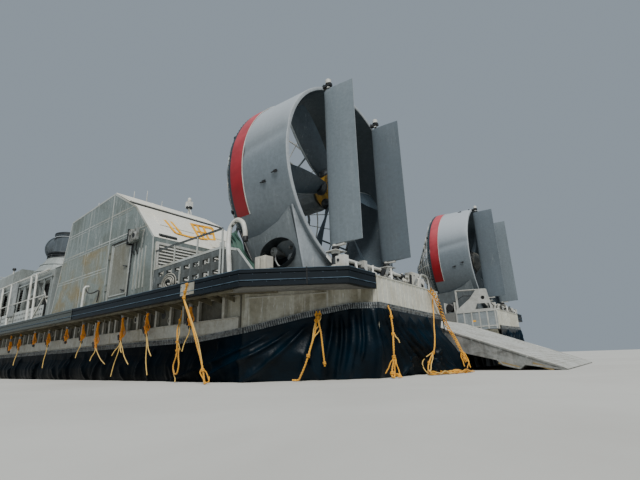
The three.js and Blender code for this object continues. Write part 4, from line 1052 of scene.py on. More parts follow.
for (s0, s1), (w0, w1) in (((2.47, 2.83), (-0.185, -0.13)), ((3.02, 3.36), (-0.01, 0.035))):
    for y in (-2.256, 2.256):
        treads.bar(stern_spot(s0, y, w0), stern_spot(s1, y, (w0 + w1) / 2), 0.006, 0.05)
treads.piece("ramp_treads", body="stern_ramp", slot="bare_aluminium", bevel=0.002)

hinges = Weldment(strip_steel)
for y in np.linspace(-2.0, 2.0, 9):
    hinges.rings([[stern_spot(s, y + a, w) for s, w in ((0.03, 0.042), (0.2, 0.042), (0.2, 0.056),
                                                        (0.03, 0.049))] for a in (-0.09, 0.09)])
hinges.piece("ramp_hinge_straps", body="stern_ramp", slot="dark_metal", bevel=0.003)


# Ramp well. Ribbed panels line both sides of the stern opening above the ramp, with a rail near
# their foot, and a black rubbing rail guards the corner.
well_paint = plate_finish("well_paint", (196, 196, 190), (150, 148, 138), (222, 222, 216),
                          patch=2.4, stain=0.7, streaks=0.5, scuffs=0.6, metal=0.1, seed=23.0)
well_grey = plate_finish("well_grey", (142, 150, 154), (112, 114, 110), (176, 180, 180), patch=2.0,
                         stain=0.6, streaks=0.4, scuffs=0.4, seed=24.0)
orange_paint = plate_finish("orange_paint", (255, 186, 0), (236, 150, 0), (255, 206, 90),
                            patch=6.0, stain=0.5, streaks=0.2, scuffs=0.3, seed=25.0, dust=0.0)
black_rubber = plate_finish("black_rubber", (26, 27, 29), (42, 42, 41), (60, 60, 58), patch=5.0,
                            stain=0.6, streaks=0.1, scuffs=0.2, seed=26.0, bump=0.15)
well = Weldment(well_paint, well_grey, orange_paint, black_rubber)
well.kind = 1
well.block((0.02, 1.24), (2.292, 2.3005), (1.02, 1.59))
well.kind = 0
for i in range(6):
    x = 0.06 + 0.235 * i
    well.block((x - 0.018, x + 0.018), (2.281, 2.293), (1.02, 1.585))
well.block((0.02, 1.24), (2.279, 2.293), (1.555, 1.6))
well.block((0.02, 1.24), (2.28, 2.293), (1.1, 1.13))
well.kind = 2
well.block((0.66, 0.75), (2.289, 2.2925), (1.26, 1.31))
well.kind = 3
well.tube([(0.34, 2.268, 1.02), (-0.03, 2.268, 1.0), (-0.05, 2.268, 0.97), (-0.05, 2.268, 0.8)], 0.012, 8)
well.piece("ramp_well_panels", slot="white_paint", both=True)
dress(well_paint, *pair("winch_frame"))
white_paint = plate_finish("white_paint", (222, 222, 216), (170, 164, 148), (200, 190, 168),
                           patch=3.0, stain=0.6, streaks=0.5, scuffs=0.3, seed=30.0)


# Winch fittings. A black roller and a wire drum hang in the starboard frame, and a white cable box
# is bolted in the port one.
winch = Weldment(black_rubber, white_paint, strip_steel)
winch.turned((1.45, -2.5, 1.78), to_port, [(-0.14, 0.1), (-0.12, 0.13), (0.12, 0.13), (0.14, 0.1)], 24)
winch.turned((0.37, -2.42, 1.985), to_port, [(-0.06, 0.05), (0.06, 0.05), (0.07, 0.03)], 20)
winch.tube([(1.45, -2.5, 1.9), (1.0, -2.46, 2.12), (0.37, -2.42, 2.04), (0.1, -2.38, 1.72)], 0.012, 8)
winch.kind = 1
winch.block((1.28, 1.3), (-2.66, -2.34), (1.6, 1.94))
winch.block((1.6, 1.62), (-2.66, -2.34), (1.6, 1.94))
winch.block((0.12, 0.28), (2.84, 3.2), (1.66, 1.92))
winch.block((0.14, 0.26), (2.86, 3.18), (1.6, 1.67))
winch.kind = 2
for y in (2.9, 3.12):
    winch.turned((0.12, y, 1.85), to_stern, [(0, 0.014), (0.014, 0.012)], 8)
winch.tube([(0.5, 3.0, 1.62), (0.44, 2.7, 1.66), (0.5, 2.52, 1.72), (0.6, 2.44, 1.62)], 0.02, 8)
winch.piece("winch_fittings", slot="dark_metal", bevel=0.004)


# Cargo deck. Rows of tie-down pots sink into the plating, with weld seams between its sheets and
# ribbed curbs along both sides.
cargo_z = 1.325
tie_downs = Weldment(strip_steel, light_bar)
for x in np.arange(3.6, 23.6, 1.2):
    for y in (-3.0, -1.5, 0.0, 1.5, 3.0):
        tie_downs.kind = 0
        tie_downs.turned((x, y, cargo_z), to_sky, [(0.0, 0.075), (0.003, 0.073), (0.003, 0.05), (0.0, 0.05)],
                         16, closed=True)
        tie_downs.kind = 1
        tie_downs.bar((x - 0.055, y, 1.327), (x + 0.055, y, 1.327), 0.014, 0.008)
        tie_downs.bar((x, y - 0.055, 1.327), (x, y + 0.055, 1.327), 0.014, 0.008)
tie_downs.piece("tie_down_pots", slot="dark_metal")
deck_seams = Weldment(deck_paint)
for x in np.arange(3.0, 24.0, 2.4):
    deck_seams.bar((x, -3.6, cargo_z), (x, 3.6, cargo_z), 0.03, 0.006)
for y in (-2.25, -0.75, 0.75, 2.25):
    deck_seams.bar((2.9, y, cargo_z), (22.6, y, cargo_z), 0.02, 0.005)
deck_seams.piece("cargo_deck_welds", slot="deck_grey")
curb = Weldment(light_bar, dark_bay)
curb.bar((3.92, 3.69, 1.56), (21.8, 3.69, 1.56), 0.06, 0.05, to_port)
for x in np.arange(4.3, 21.6, 0.6):
    curb.block((x - 0.008, x + 0.008), (3.655, 3.7005), (1.335, 1.54))
curb.piece("cargo_deck_sides", slot="bare_aluminium", both=True)


# Machinery houses. Bare plate walls, bleached and streaked, with broken weld runs between their
# sheets, ochre where rain has run down, and a sloping roof over the engines painted near-white: painted
# light from the sky that the slope faces.
house_plate = plate_finish("house_plate", (130, 140, 138), (102, 108, 100), (180, 187, 184),
                           patch=0.8, stain=0.9, streaks=0.7, scuffs=1.0, metal=0.25, seed=32.0, dust=0.0)
house_foot = plate_finish("house_foot", (132, 140, 134), (138, 120, 74), (182, 187, 180),
                          patch=1.6, stain=0.8, streaks=0.7, scuffs=1.0, metal=0.2, seed=36.0, dust=0.0)
house_seam = plate_finish("house_seam", (196, 200, 196), (140, 134, 110), (200, 202, 198),
                          patch=1.2, stain=0.6, streaks=0.3, scuffs=0.6, metal=0.3, seed=33.0, dust=0.0)
# Near-white roof plate: painted light from the sky.
roof_painted_light = plate_finish("roof_painted_light", (240, 237, 226), (206, 197, 172), (246, 244, 236),
                          patch=0.8, stain=0.5, streaks=0.4, scuffs=0.3, metal=0.05, seed=34.0, dust=0.1)
door_plate = plate_finish("door_plate", (140, 143, 136), (112, 106, 86), (158, 160, 154),
                          patch=0.9, stain=0.7, streaks=0.4, scuffs=0.4, metal=0.3, seed=35.0, dust=0.1)
dress(house_plate, *pair("machinery_house"))
dress(door_plate, *pair("house_door"))
dress(strip_steel, *pair("engines"))
outer, deck_z, aft_slope = 6.35, 1.6, 0.079


def seam(build, start, end, wide, proud=0.006):
    """A raised weld run on the outboard wall, between two (x, z) places."""
    build.bar((start[0], outer, start[1]), (end[0], outer, end[1]), proud * 2, wide,
              (end[1] - start[1], 0, start[0] - end[0]))


house_line = [(4.28, 1.6), (4.38, 2.87), (5.27, 3.78), (6.42, 4.42), (8.92, 4.26), (9.5, 1.6)]
seams = Weldment(house_seam, strip_steel, house_foot)
for (x0, z0), (x1, z1) in zip(house_line[:-1], house_line[1:]):
    seam(seams, (x0, z0), (x1, z1), 0.04, 0.006)
rng = np.random.default_rng(32)
for z, start in ((3.82, 5.4), (3.19, 4.75), (2.53, 6.4)):
    end = float(np.interp(z, [1.6, 4.26], [9.47, 8.9]))
    for rise, wide in ((0.0, 0.024), (-0.07, 0.012)):
        at_x = start
        while at_x < end:
            run = min(at_x + rng.uniform(0.25, 0.9), end)
            seam(seams, (at_x, z + rise + rng.uniform(-0.004, 0.004)), (run, z + rise),
                 wide * rng.uniform(0.7, 1.3), 0.004)
            at_x = run + rng.uniform(0.0, 0.09)
seam(seams, (6.44, 4.4), (6.4, 3.2), 0.035, 0.008)
seam(seams, (6.4, 3.2), (6.34, 1.64), 0.022)
seam(seams, (7.7, 4.32), (7.74, 1.64), 0.016, 0.004)
seam(seams, (4.33, 1.64), (5.2, 1.64), 0.05, 0.008)
seam(seams, (6.3, 1.64), (9.46, 1.64), 0.05, 0.008)
for x in (4.62, 4.76, 4.88, 5.02):
    seam(seams, (x, 1.83), (x + 0.01, 2.72), 0.014, 0.02)
for x0, x1, z0, z1 in ((5.24, 5.276, 1.7, 3.06), (6.14, 6.17, 1.7, 3.02)):
    seams.block((x0, x1), (outer, outer + 0.02), (z0, z1))
seams.kind = 1
seams.block((5.24, 6.2), (outer, outer + 0.03), (3.03, 3.05))
seams.block((5.21, 5.235), (outer, outer + 0.025), (1.7, 3.06))
seams.kind = 2
seams.slab([(6.42, outer, 1.66), (9.42, outer, 1.66), (9.3, outer, 2.46), (9.18, outer, 3.1),
            (6.42, outer, 3.1)], (0, 0.002, 0))
seams.piece("house_seams", slot="bare_aluminium", both=True)

door_parts = Weldment(house_seam, strip_steel)
for x0, x1, z0, z1 in ((5.31, 5.33, 1.79, 3.0), (6.1, 6.12, 1.79, 3.0), (5.31, 6.12, 1.79, 1.81),
                       (5.31, 6.12, 2.98, 3.0)):
    door_parts.block((x0, x1), (outer, outer + 0.006), (z0, z1))
door_parts.kind = 1
for z in (1.86, 2.4, 2.92):
    door_parts.turned((5.4, outer, z), to_port, [(0, 0.02), (0.02, 0.02), (0.028, 0.014)], 12)
    door_parts.bar((5.4, outer + 0.024, z), (5.52, outer + 0.024, z + 0.03), 0.014, 0.024)
for label, side in sides:
    door_parts.piece(f"house_door_fittings_{label}", f"house_door_{label}", "bare_aluminium", side=side)

# Roof. The lower slope is one white sheet and the upper cover stands proud of it, with a dark strip
# below the cover's lower edge: its painted shadow.
# Access panels and a black grab bar lie on it, and the port house's are marked out in orange.
pitches = {"low": (Vector((4.38, 0, 2.87)), Vector((5.27, 0, 3.78))),
           "high": (Vector((5.27, 0, 3.78)), Vector((6.42, 0, 4.42)))}


def on_roof(pitch, share, y, proud=0.0):
    foot, ridge = pitches[pitch]
    out = Vector((foot.z - ridge.z, 0, ridge.x - foot.x)).normalized()
    return foot + (ridge - foot) * share + out * proud + Vector((0, y, 0))


def roof_panel(build, pitch, low, high, y0, y1, proud, thick):
    corners = [on_roof(pitch, low, y0, proud), on_roof(pitch, low, y1, proud),
               on_roof(pitch, high, y1, proud), on_roof(pitch, high, y0, proud)]
    build.slab(corners, on_roof(pitch, 0, 0, thick) - on_roof(pitch, 0, 0))


covers = Weldment(roof_painted_light, strip_steel, bolt_steel)
roof_panel(covers, "low", 0.0, 1.0, 3.66, 6.34, 0.001, 0.006)
roof_panel(covers, "high", 0.0, 0.28, 3.66, 6.34, 0.001, 0.006)
roof_panel(covers, "high", 0.33, 1.0, 3.655, 6.345, 0.03, 0.02)
for y in (4.5, 5.4):
    roof_panel(covers, "high", 0.34, 0.99, y - 0.02, y + 0.02, 0.05, 0.01)
for low, high, y0, y1 in ((0.1, 0.42, 3.8, 4.8), (0.5, 0.86, 3.8, 4.5), (0.48, 0.9, 5.1, 6.0)):
    roof_panel(covers, "low", low, high, y0, y1, 0.006, 0.016)
covers.slab([(6.44, 3.67, 4.42), (6.44, 6.33, 4.42), (8.9, 6.33, 4.262), (8.9, 3.67, 4.262)], (0, 0, 0.006))
for x in (6.9, 7.7, 8.5):
    z = 4.426 - 0.064 * (x - 6.42)
    covers.bar((x, 3.7, z), (x, 6.3, z), 0.05, 0.02)
covers.kind = 1
# Dark strip under the upper cover's lower edge: painted shadow.
roof_panel(covers, "high", 0.27, 0.34, 3.66, 6.345, 0.004, 0.03)
roof_panel(covers, "low", 0.05, 0.1, 5.78, 6.2, 0.012, 0.03)
covers.kind = 2
for share in np.linspace(0.36, 0.97, 9):
    for y in (3.7, 6.3):
        spot = on_roof("high", share, y, 0.05)
        covers.turned(spot, on_roof("high", 0, 0, 1) - on_roof("high", 0, 0), [(0, 0.014), (0.008, 0.013)],
                      6)
covers.piece("roof_covers", slot="white_paint", both=True, bevel=0.003)
outline = Weldment(orange_paint)
marks = [[(0.72, 5.78), (0.3, 5.7), (0.28, 5.3), (0.34, 5.04), (0.86, 4.97), (0.98, 4.28), (0.42, 4.54),
          (0.32, 5.04)], [(0.72, 5.62), (0.34, 5.54)], [(0.9, 4.8), (0.36, 4.9)],
         [(0.94, 4.6), (0.38, 4.74)], [(0.88, 5.0), (0.92, 4.26)], [(0.6, 4.98), (0.66, 4.44)]]
for line in marks:
    spots = [on_roof("low", share, y, 0.025) for share, y in line]
    for a, b in zip(spots, spots[1:]):
        outline.bar(a, b, 0.065, 0.004, on_roof("low", 0, 0, 1) - on_roof("low", 0, 0))
outline.piece("roof_outlines", slot="white_paint")

# Intake louvres. White sheet blades across the opening in the aft wall of each house, in a flanged
# frame that is bolted round it.
louvre_shade = plate_finish("louvre_shade", (176, 178, 173), (128, 128, 118), (206, 208, 203), patch=3.0,
                            stain=0.7, streaks=0.4, scuffs=0.3, seed=39.0)
louvres = Weldment(white_paint, louvre_shade)
louvres.kind = 1
louvres.slab([(4.3, 4.0, 1.85), (4.3, 6.25, 1.85), (4.366, 6.25, 2.7), (4.366, 4.0, 2.7)], (-0.004, 0, 0))
louvres.kind = 0
for i in range(12):
    z = 1.88 + 0.07 * i
    x = 4.294 + aft_slope * (z - deck_z)
    louvres.rings([[(x - 0.05, y, z), (x - 0.004, y, z + 0.052), (x - 0.004, y, z + 0.058),
                    (x - 0.05, y, z + 0.006)] for y in (4.0, 6.25)])
for y in (3.98, 5.1, 6.27):
    louvres.bar((4.29, y, 1.83), (4.345, y, 2.74), 0.05, 0.06, to_bow)
for z in (1.83, 2.74):
    louvres.bar((4.27 + aft_slope * (z - deck_z), 3.96, z), (4.27 + aft_slope * (z - deck_z), 6.29, z),
                0.05, 0.05)
louvres.piece("house_louvres", slot="white_paint", both=True)

# Lamp box. A ribbed grey case on the outboard wall beside a dark guard, with two round lamps and
# their cables hanging below.
lamp_skin = plate_finish("lamp_skin", (158, 160, 156), (96, 94, 86), (206, 206, 200), patch=5.0,
                         stain=0.9, streaks=0.5, scuffs=0.8, metal=0.3, seed=38.0)
lamps = Weldment(lamp_skin, black_hole)
for i in range(7):
    x = 4.82 + 0.055 * i
    lamps.block((x - 0.01, x + 0.01), (outer + 0.1, outer + 0.15 - 0.02 * (i % 2)), (2.88, 3.14))
lamps.turned((4.9, outer + 0.1, 2.97), to_port, [(0, 0.09), (0.05, 0.09), (0.07, 0.06)], 16)
lamps.turned((5.06, outer + 0.1, 3.08), to_port, [(0, 0.07), (0.06, 0.07), (0.08, 0.05)], 16)
lamps.tube([(4.72, outer + 0.03, 3.1), (4.7, outer + 0.06, 2.98), (4.74, outer + 0.04, 2.8),
            (4.8, outer + 0.02, 2.6)], 0.014, 8)
lamps.kind = 1
lamps.block((5.23, 5.27), (outer, outer + 0.13), (2.84, 3.2))
lamps.turned((4.9, outer + 0.165, 2.97), to_port, [(0, 0.055), (0.008, 0.055)], 16)
for x in (4.96, 5.1):
    lamps.tube([(x, outer + 0.05, 2.88), (x + 0.03, outer + 0.04, 2.7), (x, outer + 0.01, 2.6)], 0.012, 8)
lamps.piece("lamp_boxes", slot="white_paint", both=True)

# Mast and aerials. A white lamp with a dark band on a bent tube, and white whip aerials that stand
# on the port house roof.
dress(white_paint, "roof_mast")
aerials = Weldment(white_paint, strip_steel)
aerials.turned((6.9, 3.94, 5.08), to_sky, [(0, 0.05), (0.02, 0.055), (0.1, 0.055), (0.13, 0.04),
                                           (0.135, 0.0)], 20)
aerials.tube([(6.9, 3.94, 4.9), (6.78, 3.94, 4.7), (6.72, 3.94, 4.42)], 0.014)
for x, y, tall in ((6.6, 5.8, 0.34), (6.5, 5.5, 0.42), (6.6, 5.0, 0.3), (8.5, 5.9, 0.5)):
    aerials.turned((x, y, 4.4), to_sky, [(0, 0.04), (0.06, 0.03), (0.08, 0.012), (tall, 0.008)], 10)
aerials.kind = 1
aerials.turned((6.9, 3.94, 4.86), to_sky, [(0, 0.09), (0.02, 0.1), (0.05, 0.1), (0.06, 0.09)], 20)
aerials.piece("roof_aerials", slot="white_paint")

# Shore cable post. A bent white tube on a foot plate beside the port house, with its black cable
# hanging from the top.
post = Weldment(white_paint, black_rubber)
post.tube([(7.2, 6.46, 1.61), (7.2, 6.46, 2.12), (7.2, 6.43, 2.17), (7.2, 6.36, 2.18)], 0.028)
post.turned((7.2, 6.46, 1.615), to_sky, [(0, 0.07), (0.012, 0.07), (0.016, 0.035)], 14)
post.kind = 1
hang = smooth_route([(7.16, 6.43, 2.1), (7.1, 6.44, 2.05), (6.95, 6.44, 1.98), (6.75, 6.42, 1.97),
                     (6.6, 6.4, 2.0), (6.55, 6.39, 2.0), (6.55, 6.39, 1.86), (6.56, 6.4, 1.73)], 40)
post.tube(hang, 0.014, 8)
post.piece("shore_cable_post", slot="white_paint")


# Bulwarks. Perforated plate along the deck edge beside each duct, a hand rail behind it and a
# gooseneck vent pipe. A bright tick stands beside each slot.
bulwark_plate = plate_finish("bulwark_plate", (98, 104, 104), (72, 73, 69), (142, 147, 147),
                             patch=1.8, stain=0.8, streaks=0.4, scuffs=0.4, metal=0.3, seed=41.0, dust=0.05)
dress(bulwark_plate, *pair("bulwark_rail"))
rims = Weldment(house_seam, strip_steel)
for low, high in ((1.69, 1.77), (1.91, 1.99)):
    for i in range(7):
        x = 2.0 + 0.28 * i
        rims.bar((x - 0.014, 6.4715, low), (x - 0.014, 6.4715, high), 0.007, 0.024, to_bow)
for (x0, z0), (x1, z1) in (((1.56, 2.03), (1.97, 2.14)), ((1.97, 2.14), (4.02, 2.1)),
                           ((1.2, 1.63), (1.56, 2.03))):
    rims.bar((x0, 6.45, z0), (x1, 6.45, z1), 0.05, 0.012)
rims.block((3.08, 3.1), (6.474, 6.5), (1.6, 1.92))
for (x0, z0), (x1, z1) in (((1.56, 2.01), (1.97, 2.12)), ((1.97, 2.12), (4.02, 2.08))):
    rims.bar((x0, 6.472, z0), (x1, 6.472, z1), 0.008, 0.03, (z0 - z1, 0, x1 - x0))
hand_rail_y = 6.416
for x in (2.0, 2.7, 3.42, 4.1):
    rims.tube([(x, hand_rail_y, 1.62), (x, hand_rail_y, 2.47)], 0.017, 8)
for x in (1.86, 1.94):
    rims.tube([(x, 6.495, 1.6), (x, 6.495, 2.2)], 0.016, 8)
rims.kind = 1
rims.tube([(2.0, hand_rail_y, 2.487), (4.1, hand_rail_y, 2.487)], 0.012, 8)
rims.piece("bulwark_slot_rims", slot="bare_aluminium", both=True)
vents = Weldment(white_paint, black_rubber)
vent_route = [(1.66, 1.605), (1.7, 1.95), (1.8, 2.22), (1.81, 2.46), (1.66, 2.55), (1.52, 2.48),
              (1.455, 2.33), (1.44, 2.19)]
vents.tube(smooth_route([(x, 6.402 + 0.11 * min(1, max(0, (2.3 - z) / 0.2)), z) for x, z in vent_route[:3]]
                        + [(x, 6.402, z) for x, z in vent_route[3:]], 60), 0.038, 16)
vents.turned((1.66, 6.51, 1.605), to_sky, [(0, 0.06), (0.015, 0.06), (0.02, 0.04)], 20)
vents.kind = 1
vents.turned((1.437, 6.402, 2.16), (0.04, 0, 1), [(-0.03, 0.032), (-0.02, 0.043), (0.05, 0.043),
                                                  (0.06, 0.038)], 16)
vents.piece("gooseneck_vents", slot="white_paint", both=True)

# Hose, lamp box and canvas. A pale rubber hose hangs in a coil on the deck edge, and a beige lamp
# box and a green canvas folded over a spar stand behind the port bulwark.
hose_rubber = plate_finish("hose_rubber", (176, 172, 160), (96, 92, 84), (200, 198, 190), patch=5.0,
                           stain=0.7, streaks=0.0, scuffs=0.2, seed=43.0)
coil = Weldment(hose_rubber)
turns = []
for i in range(4 * 24 + 1):
    a = 2 * pi * i / 24
    reach = 0.19 - 0.034 * i / 24 + 0.008 * sin(a * 0.4)
    turns.append((3.42 + 1.3 * reach * cos(a), 6.486 + 0.006 * i / 24, 1.72 + reach * sin(a)))
coil.tube(turns, 0.009, 8)
coil.piece("stowed_hose_coil", slot="navy_rubber")
beige_paint = plate_finish("beige_paint", (222, 219, 206), (176, 168, 146), (232, 229, 218),
                           patch=4.0, stain=0.5, streaks=0.4, scuffs=0.3, seed=44.0)
box = Weldment(beige_paint, strip_steel)
for x0, x1 in ((1.31, 1.43), (1.445, 1.56)):
    box.block((x0, x1), (5.9, 6.08), (1.64, 1.95))
    box.block((x0 + 0.02, x1 - 0.02), (6.08, 6.09), (1.68, 1.91))
box.block((1.33, 1.54), (5.92, 6.06), (1.6, 1.65))
box.kind = 1
box.block((1.425, 1.45), (5.92, 6.07), (1.63, 1.93))
box.piece("deck_lamp_box", slot="white_paint", bevel=0.02)

green_canvas = Finish("green_canvas")
look = green_canvas.placed(grime, Clean=shade(4, 74, 58), Dirty=shade(14, 58, 48), Size=5.0, Amount=0.6,
                           Seed=45.0)
dirt = green_canvas.placed(settled, Surface=look["Color"], Dust=shade(110, 116, 100), On_Top=0.3, Splash=0.0)
green_canvas.wear(Base_Color=dirt["Color"], Roughness=0.7, Sheen_Weight=0.3)
green_canvas.bump(green_canvas.placed(grain, Size=500.0, Coarse=26.0, Share=0.35)["Height"], 0.5, 0.004)


def sheet_piece(name, grid, finish, thickness, slot=None):
    """A thin sheet of cloth through a grid of points, with real thickness."""
    points = [at(*spot) for row in grid for spot in row]
    made = mesh_piece(name, points, grid_faces(len(grid), len(grid[0])), finish, slot=slot, sharp=60)
    wall = made.modifiers.new("cloth_thickness", "SOLIDIFY")
    wall.thickness, wall.offset = thickness, 0
    return made


canvas_edges = ([(2.06, 2.55), (1.96, 2.36), (1.82, 2.12), (1.6, 1.86), (1.56, 1.7)],
                [(2.26, 2.36), (2.14, 2.2), (1.98, 2.02), (1.74, 1.78), (1.62, 1.66)])
canvas_rows = []
for i in range(25):
    spots = [np.array([np.interp(i / 6, range(5), [p[k] for p in edge]) for k in (0, 1)])
             for edge in canvas_edges]
    row = []
    for k in range(13):
        place = spots[0] + (spots[1] - spots[0]) * k / 12
        swell = 0.05 * sin(pi * k / 12) + 0.02 * sin(0.6 * i + 0.4 * k) + 0.015 * sin(1.9 * k + 0.1 * i)
        row.append((place[0], 6.06 + swell, place[1]))
    canvas_rows.append(row)
canvas = sheet_piece("green_canvas_cover", canvas_rows, green_canvas.made, 0.003)
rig.sheet(canvas, flat=(1.0, 0.24), held="hung", rests_on=["canvas_spar"])
spar = Weldment(black_rubber)
spar.tube([(2.08, 6.03, 2.66), (1.96, 6.03, 2.42), (1.8, 6.03, 2.12), (1.56, 6.0, 1.66), (1.56, 6.0, 1.6)],
          0.02)
spar.tube([(2.08, 6.03, 2.66), (2.2, 6.0, 2.2), (2.2, 5.98, 1.6)], 0.018)
spar.piece("canvas_spar", slot="dark_metal")


# Propeller ducts. Moulded grey composite rings on fairings, with a rolled inlet lip bolted on, a
# bare red warning band behind it, and a soft crease where the mouldings meet. Both the grey and the
# red are painted lighter towards the top: painted light from the sky.
duct_y, duct_z, rudder_out = 4.386, 3.595, 0.871
duct_paint = Finish("duct_skin")
look = duct_paint.placed(weathered, Clean=shade(118, 128, 135), Stained=shade(102, 111, 116),
                         Streak=shade(142, 150, 156), Patch=0.5, Stain=0.5, Streaks=0.28, Scuffs=0.12,
                         Seed=50.0)
# Lighter towards the top: painted light from the sky.
painted_sky_light = duct_paint.remap(duct_paint.along(2), 3.4, 4.9, 0.0, 0.6, "SMOOTHSTEP")
duct_paint.wear(Base_Color=duct_paint.mix(painted_sky_light, look["Color"], shade(196, 202, 208)),
                Roughness=look["Rough"], Coat_Weight=0.15)
duct_paint.bump(look["Height"], 0.06, 0.01)
pale_lip = plate_finish("pale_lip", (178, 184, 188), (140, 144, 146), (200, 204, 206), patch=1.2,
                        stain=0.4, streaks=0.2, scuffs=0.2, seed=51.0, bump=0.05, dust=0.0)
dark_lip = plate_finish("dark_lip", (34, 54, 62), (22, 36, 42), (60, 74, 80), patch=1.2,
                        stain=0.4, streaks=0.2, scuffs=0.1, seed=52.0, bump=0.05, dust=0.0)
# Dark finish for the duct bore and the thruster mouth: painted shade inside them.
inner_painted_shade = plate_finish("inner_painted_shade", (60, 72, 80), (44, 54, 60), (86, 96, 102), patch=0.7,
                          stain=0.5, streaks=0.3, scuffs=0.2, seed=53.0, bump=0.05, dust=0.0)

# The band's red is painted lighter, towards pink, with height: painted light from the sky
red_band = Finish("red_band")
painted_sky_light_red = red_band.mix(red_band.remap(red_band.along(2), 3.2, 4.9), shade(142, 2, 20), shade(192, 80, 88))
look = red_band.placed(grime, Clean=(1, 1, 1, 1), Dirty=(0.55, 0.5, 0.5, 1), Size=4.0, Amount=0.5, Seed=54.0)
red_band.wear(Base_Color=red_band.mix(1.0, painted_sky_light_red, look["Color"], "MULTIPLY"), Roughness=0.45)


def revolve(name, profile, spans, finishes, side, segments, dent, first=0.0, last=360.0):
    """A ring, or part of one from first to last degrees, turned about a duct's middle line. profile
    is a list of (x, radius), spans gives the finish of each of its stretches, and dent pushes the
    radius in or out."""
    whole = abs(last - first) >= 359.9
    steps = segments if whole else segments + 1
    points, faces, kinds = [], [], []
    for i in range(steps):
        angle = radians(first + (last - first) * i / segments)
        for x, radius in profile:
            reach = radius + dent(x, radius, angle)
            points.append(at(x, side * (duct_y + reach * cos(angle)), duct_z + reach * sin(angle)))
    count = len(profile)
    for i in range(segments):
        ahead_i = (i + 1) % steps if whole else i + 1
        for k in range(count):
            nxt = (k + 1) % count
            faces.append((i * count + k, ahead_i * count + k, ahead_i * count + nxt, i * count + nxt))
            kinds.append(spans[k])
    if not whole:
        faces += [tuple(range(count)), tuple(range((steps - 1) * count, steps * count))]
        kinds += [spans[0], spans[0]]
    made = mesh_piece(name, points, faces, finishes[0], slot="duct_composite", sharp=28)
    for finish in finishes[1:]:
        made.data.materials.append(finish)
    if len(made.data.polygons) == len(kinds):
        made.data.polygons.foreach_set("material_index", kinds)
    return made


def crease(x, radius, angle):
    """Soft inward fold along both sides of the outer skin, shallow at the lip and the exit."""
    if radius < 1.925:
        return 0.0
    depth, middle = 0.0, 0.117 + 0.068 * (1.6 - x)
    for away in (angle - middle, pi - middle - angle):
        depth -= 0.035 * exp(-(away / 0.055) ** 2)
        depth += 0.016 * exp(-((away - 0.17) / 0.13) ** 2)
    return depth * (1 if 0.7 < x < 1.7 else 0.3)


def band_dent(x, radius, angle):
    """The band lies over the crease, so it rises with it and bridges its fold."""
    return max(crease(x, radius, angle), 0.0)


def on_duct(x, radius, angle):
    """A place round the port duct's middle line, up from its outboard side."""
    return x, duct_y + radius * cos(angle), duct_z + radius * sin(angle)


def smooth_profile(stations, count):
    spots = smooth_route([(x, radius, 0) for x, radius in stations], count)
    return [(spot.x, spot.y) for spot in spots]


exit_x, band_aft, band_fore = 0.628, 1.625, 1.915
outer_curve = smooth_profile([(exit_x, 1.933), (1.0, 1.945), (1.35, 1.957), (band_aft, 1.968)], 12)
band_curve = [(band_aft, 1.968), (1.72, 1.977), (1.82, 1.986), (band_fore, 1.9895)]
lip_curve = smooth_profile([(band_fore, 1.9895), (1.955, 1.989), (1.99, 1.978), (2.012, 1.955), (2.02, 1.93),
                            (2.013, 1.905), (1.985, 1.882), (1.93, 1.858), (1.8, 1.8165)], 18)
bore_curve = smooth_profile([(1.8, 1.8165), (1.6, 1.806), (1.3, 1.8), (1.0, 1.826), (exit_x, 1.868)], 12)
exit_curve = [(exit_x, 1.868), (0.613, 1.874), (0.6112, 1.888), (0.6112, 1.92), (0.6135, 1.929),
              (exit_x, 1.933)]
band_ends = (-26.5, 206.5)
duct_profile = outer_curve[:-1] + band_curve[:-1] + lip_curve[:-1] + bore_curve[:-1] + exit_curve[:-1]
duct_spans = [0] * (len(outer_curve) - 1) + [0] * (len(band_curve) - 1) + [1] * 5
duct_spans += [3] * (len(duct_profile) - len(duct_spans) - len(exit_curve) + 1) + [2] * (len(exit_curve) - 1)
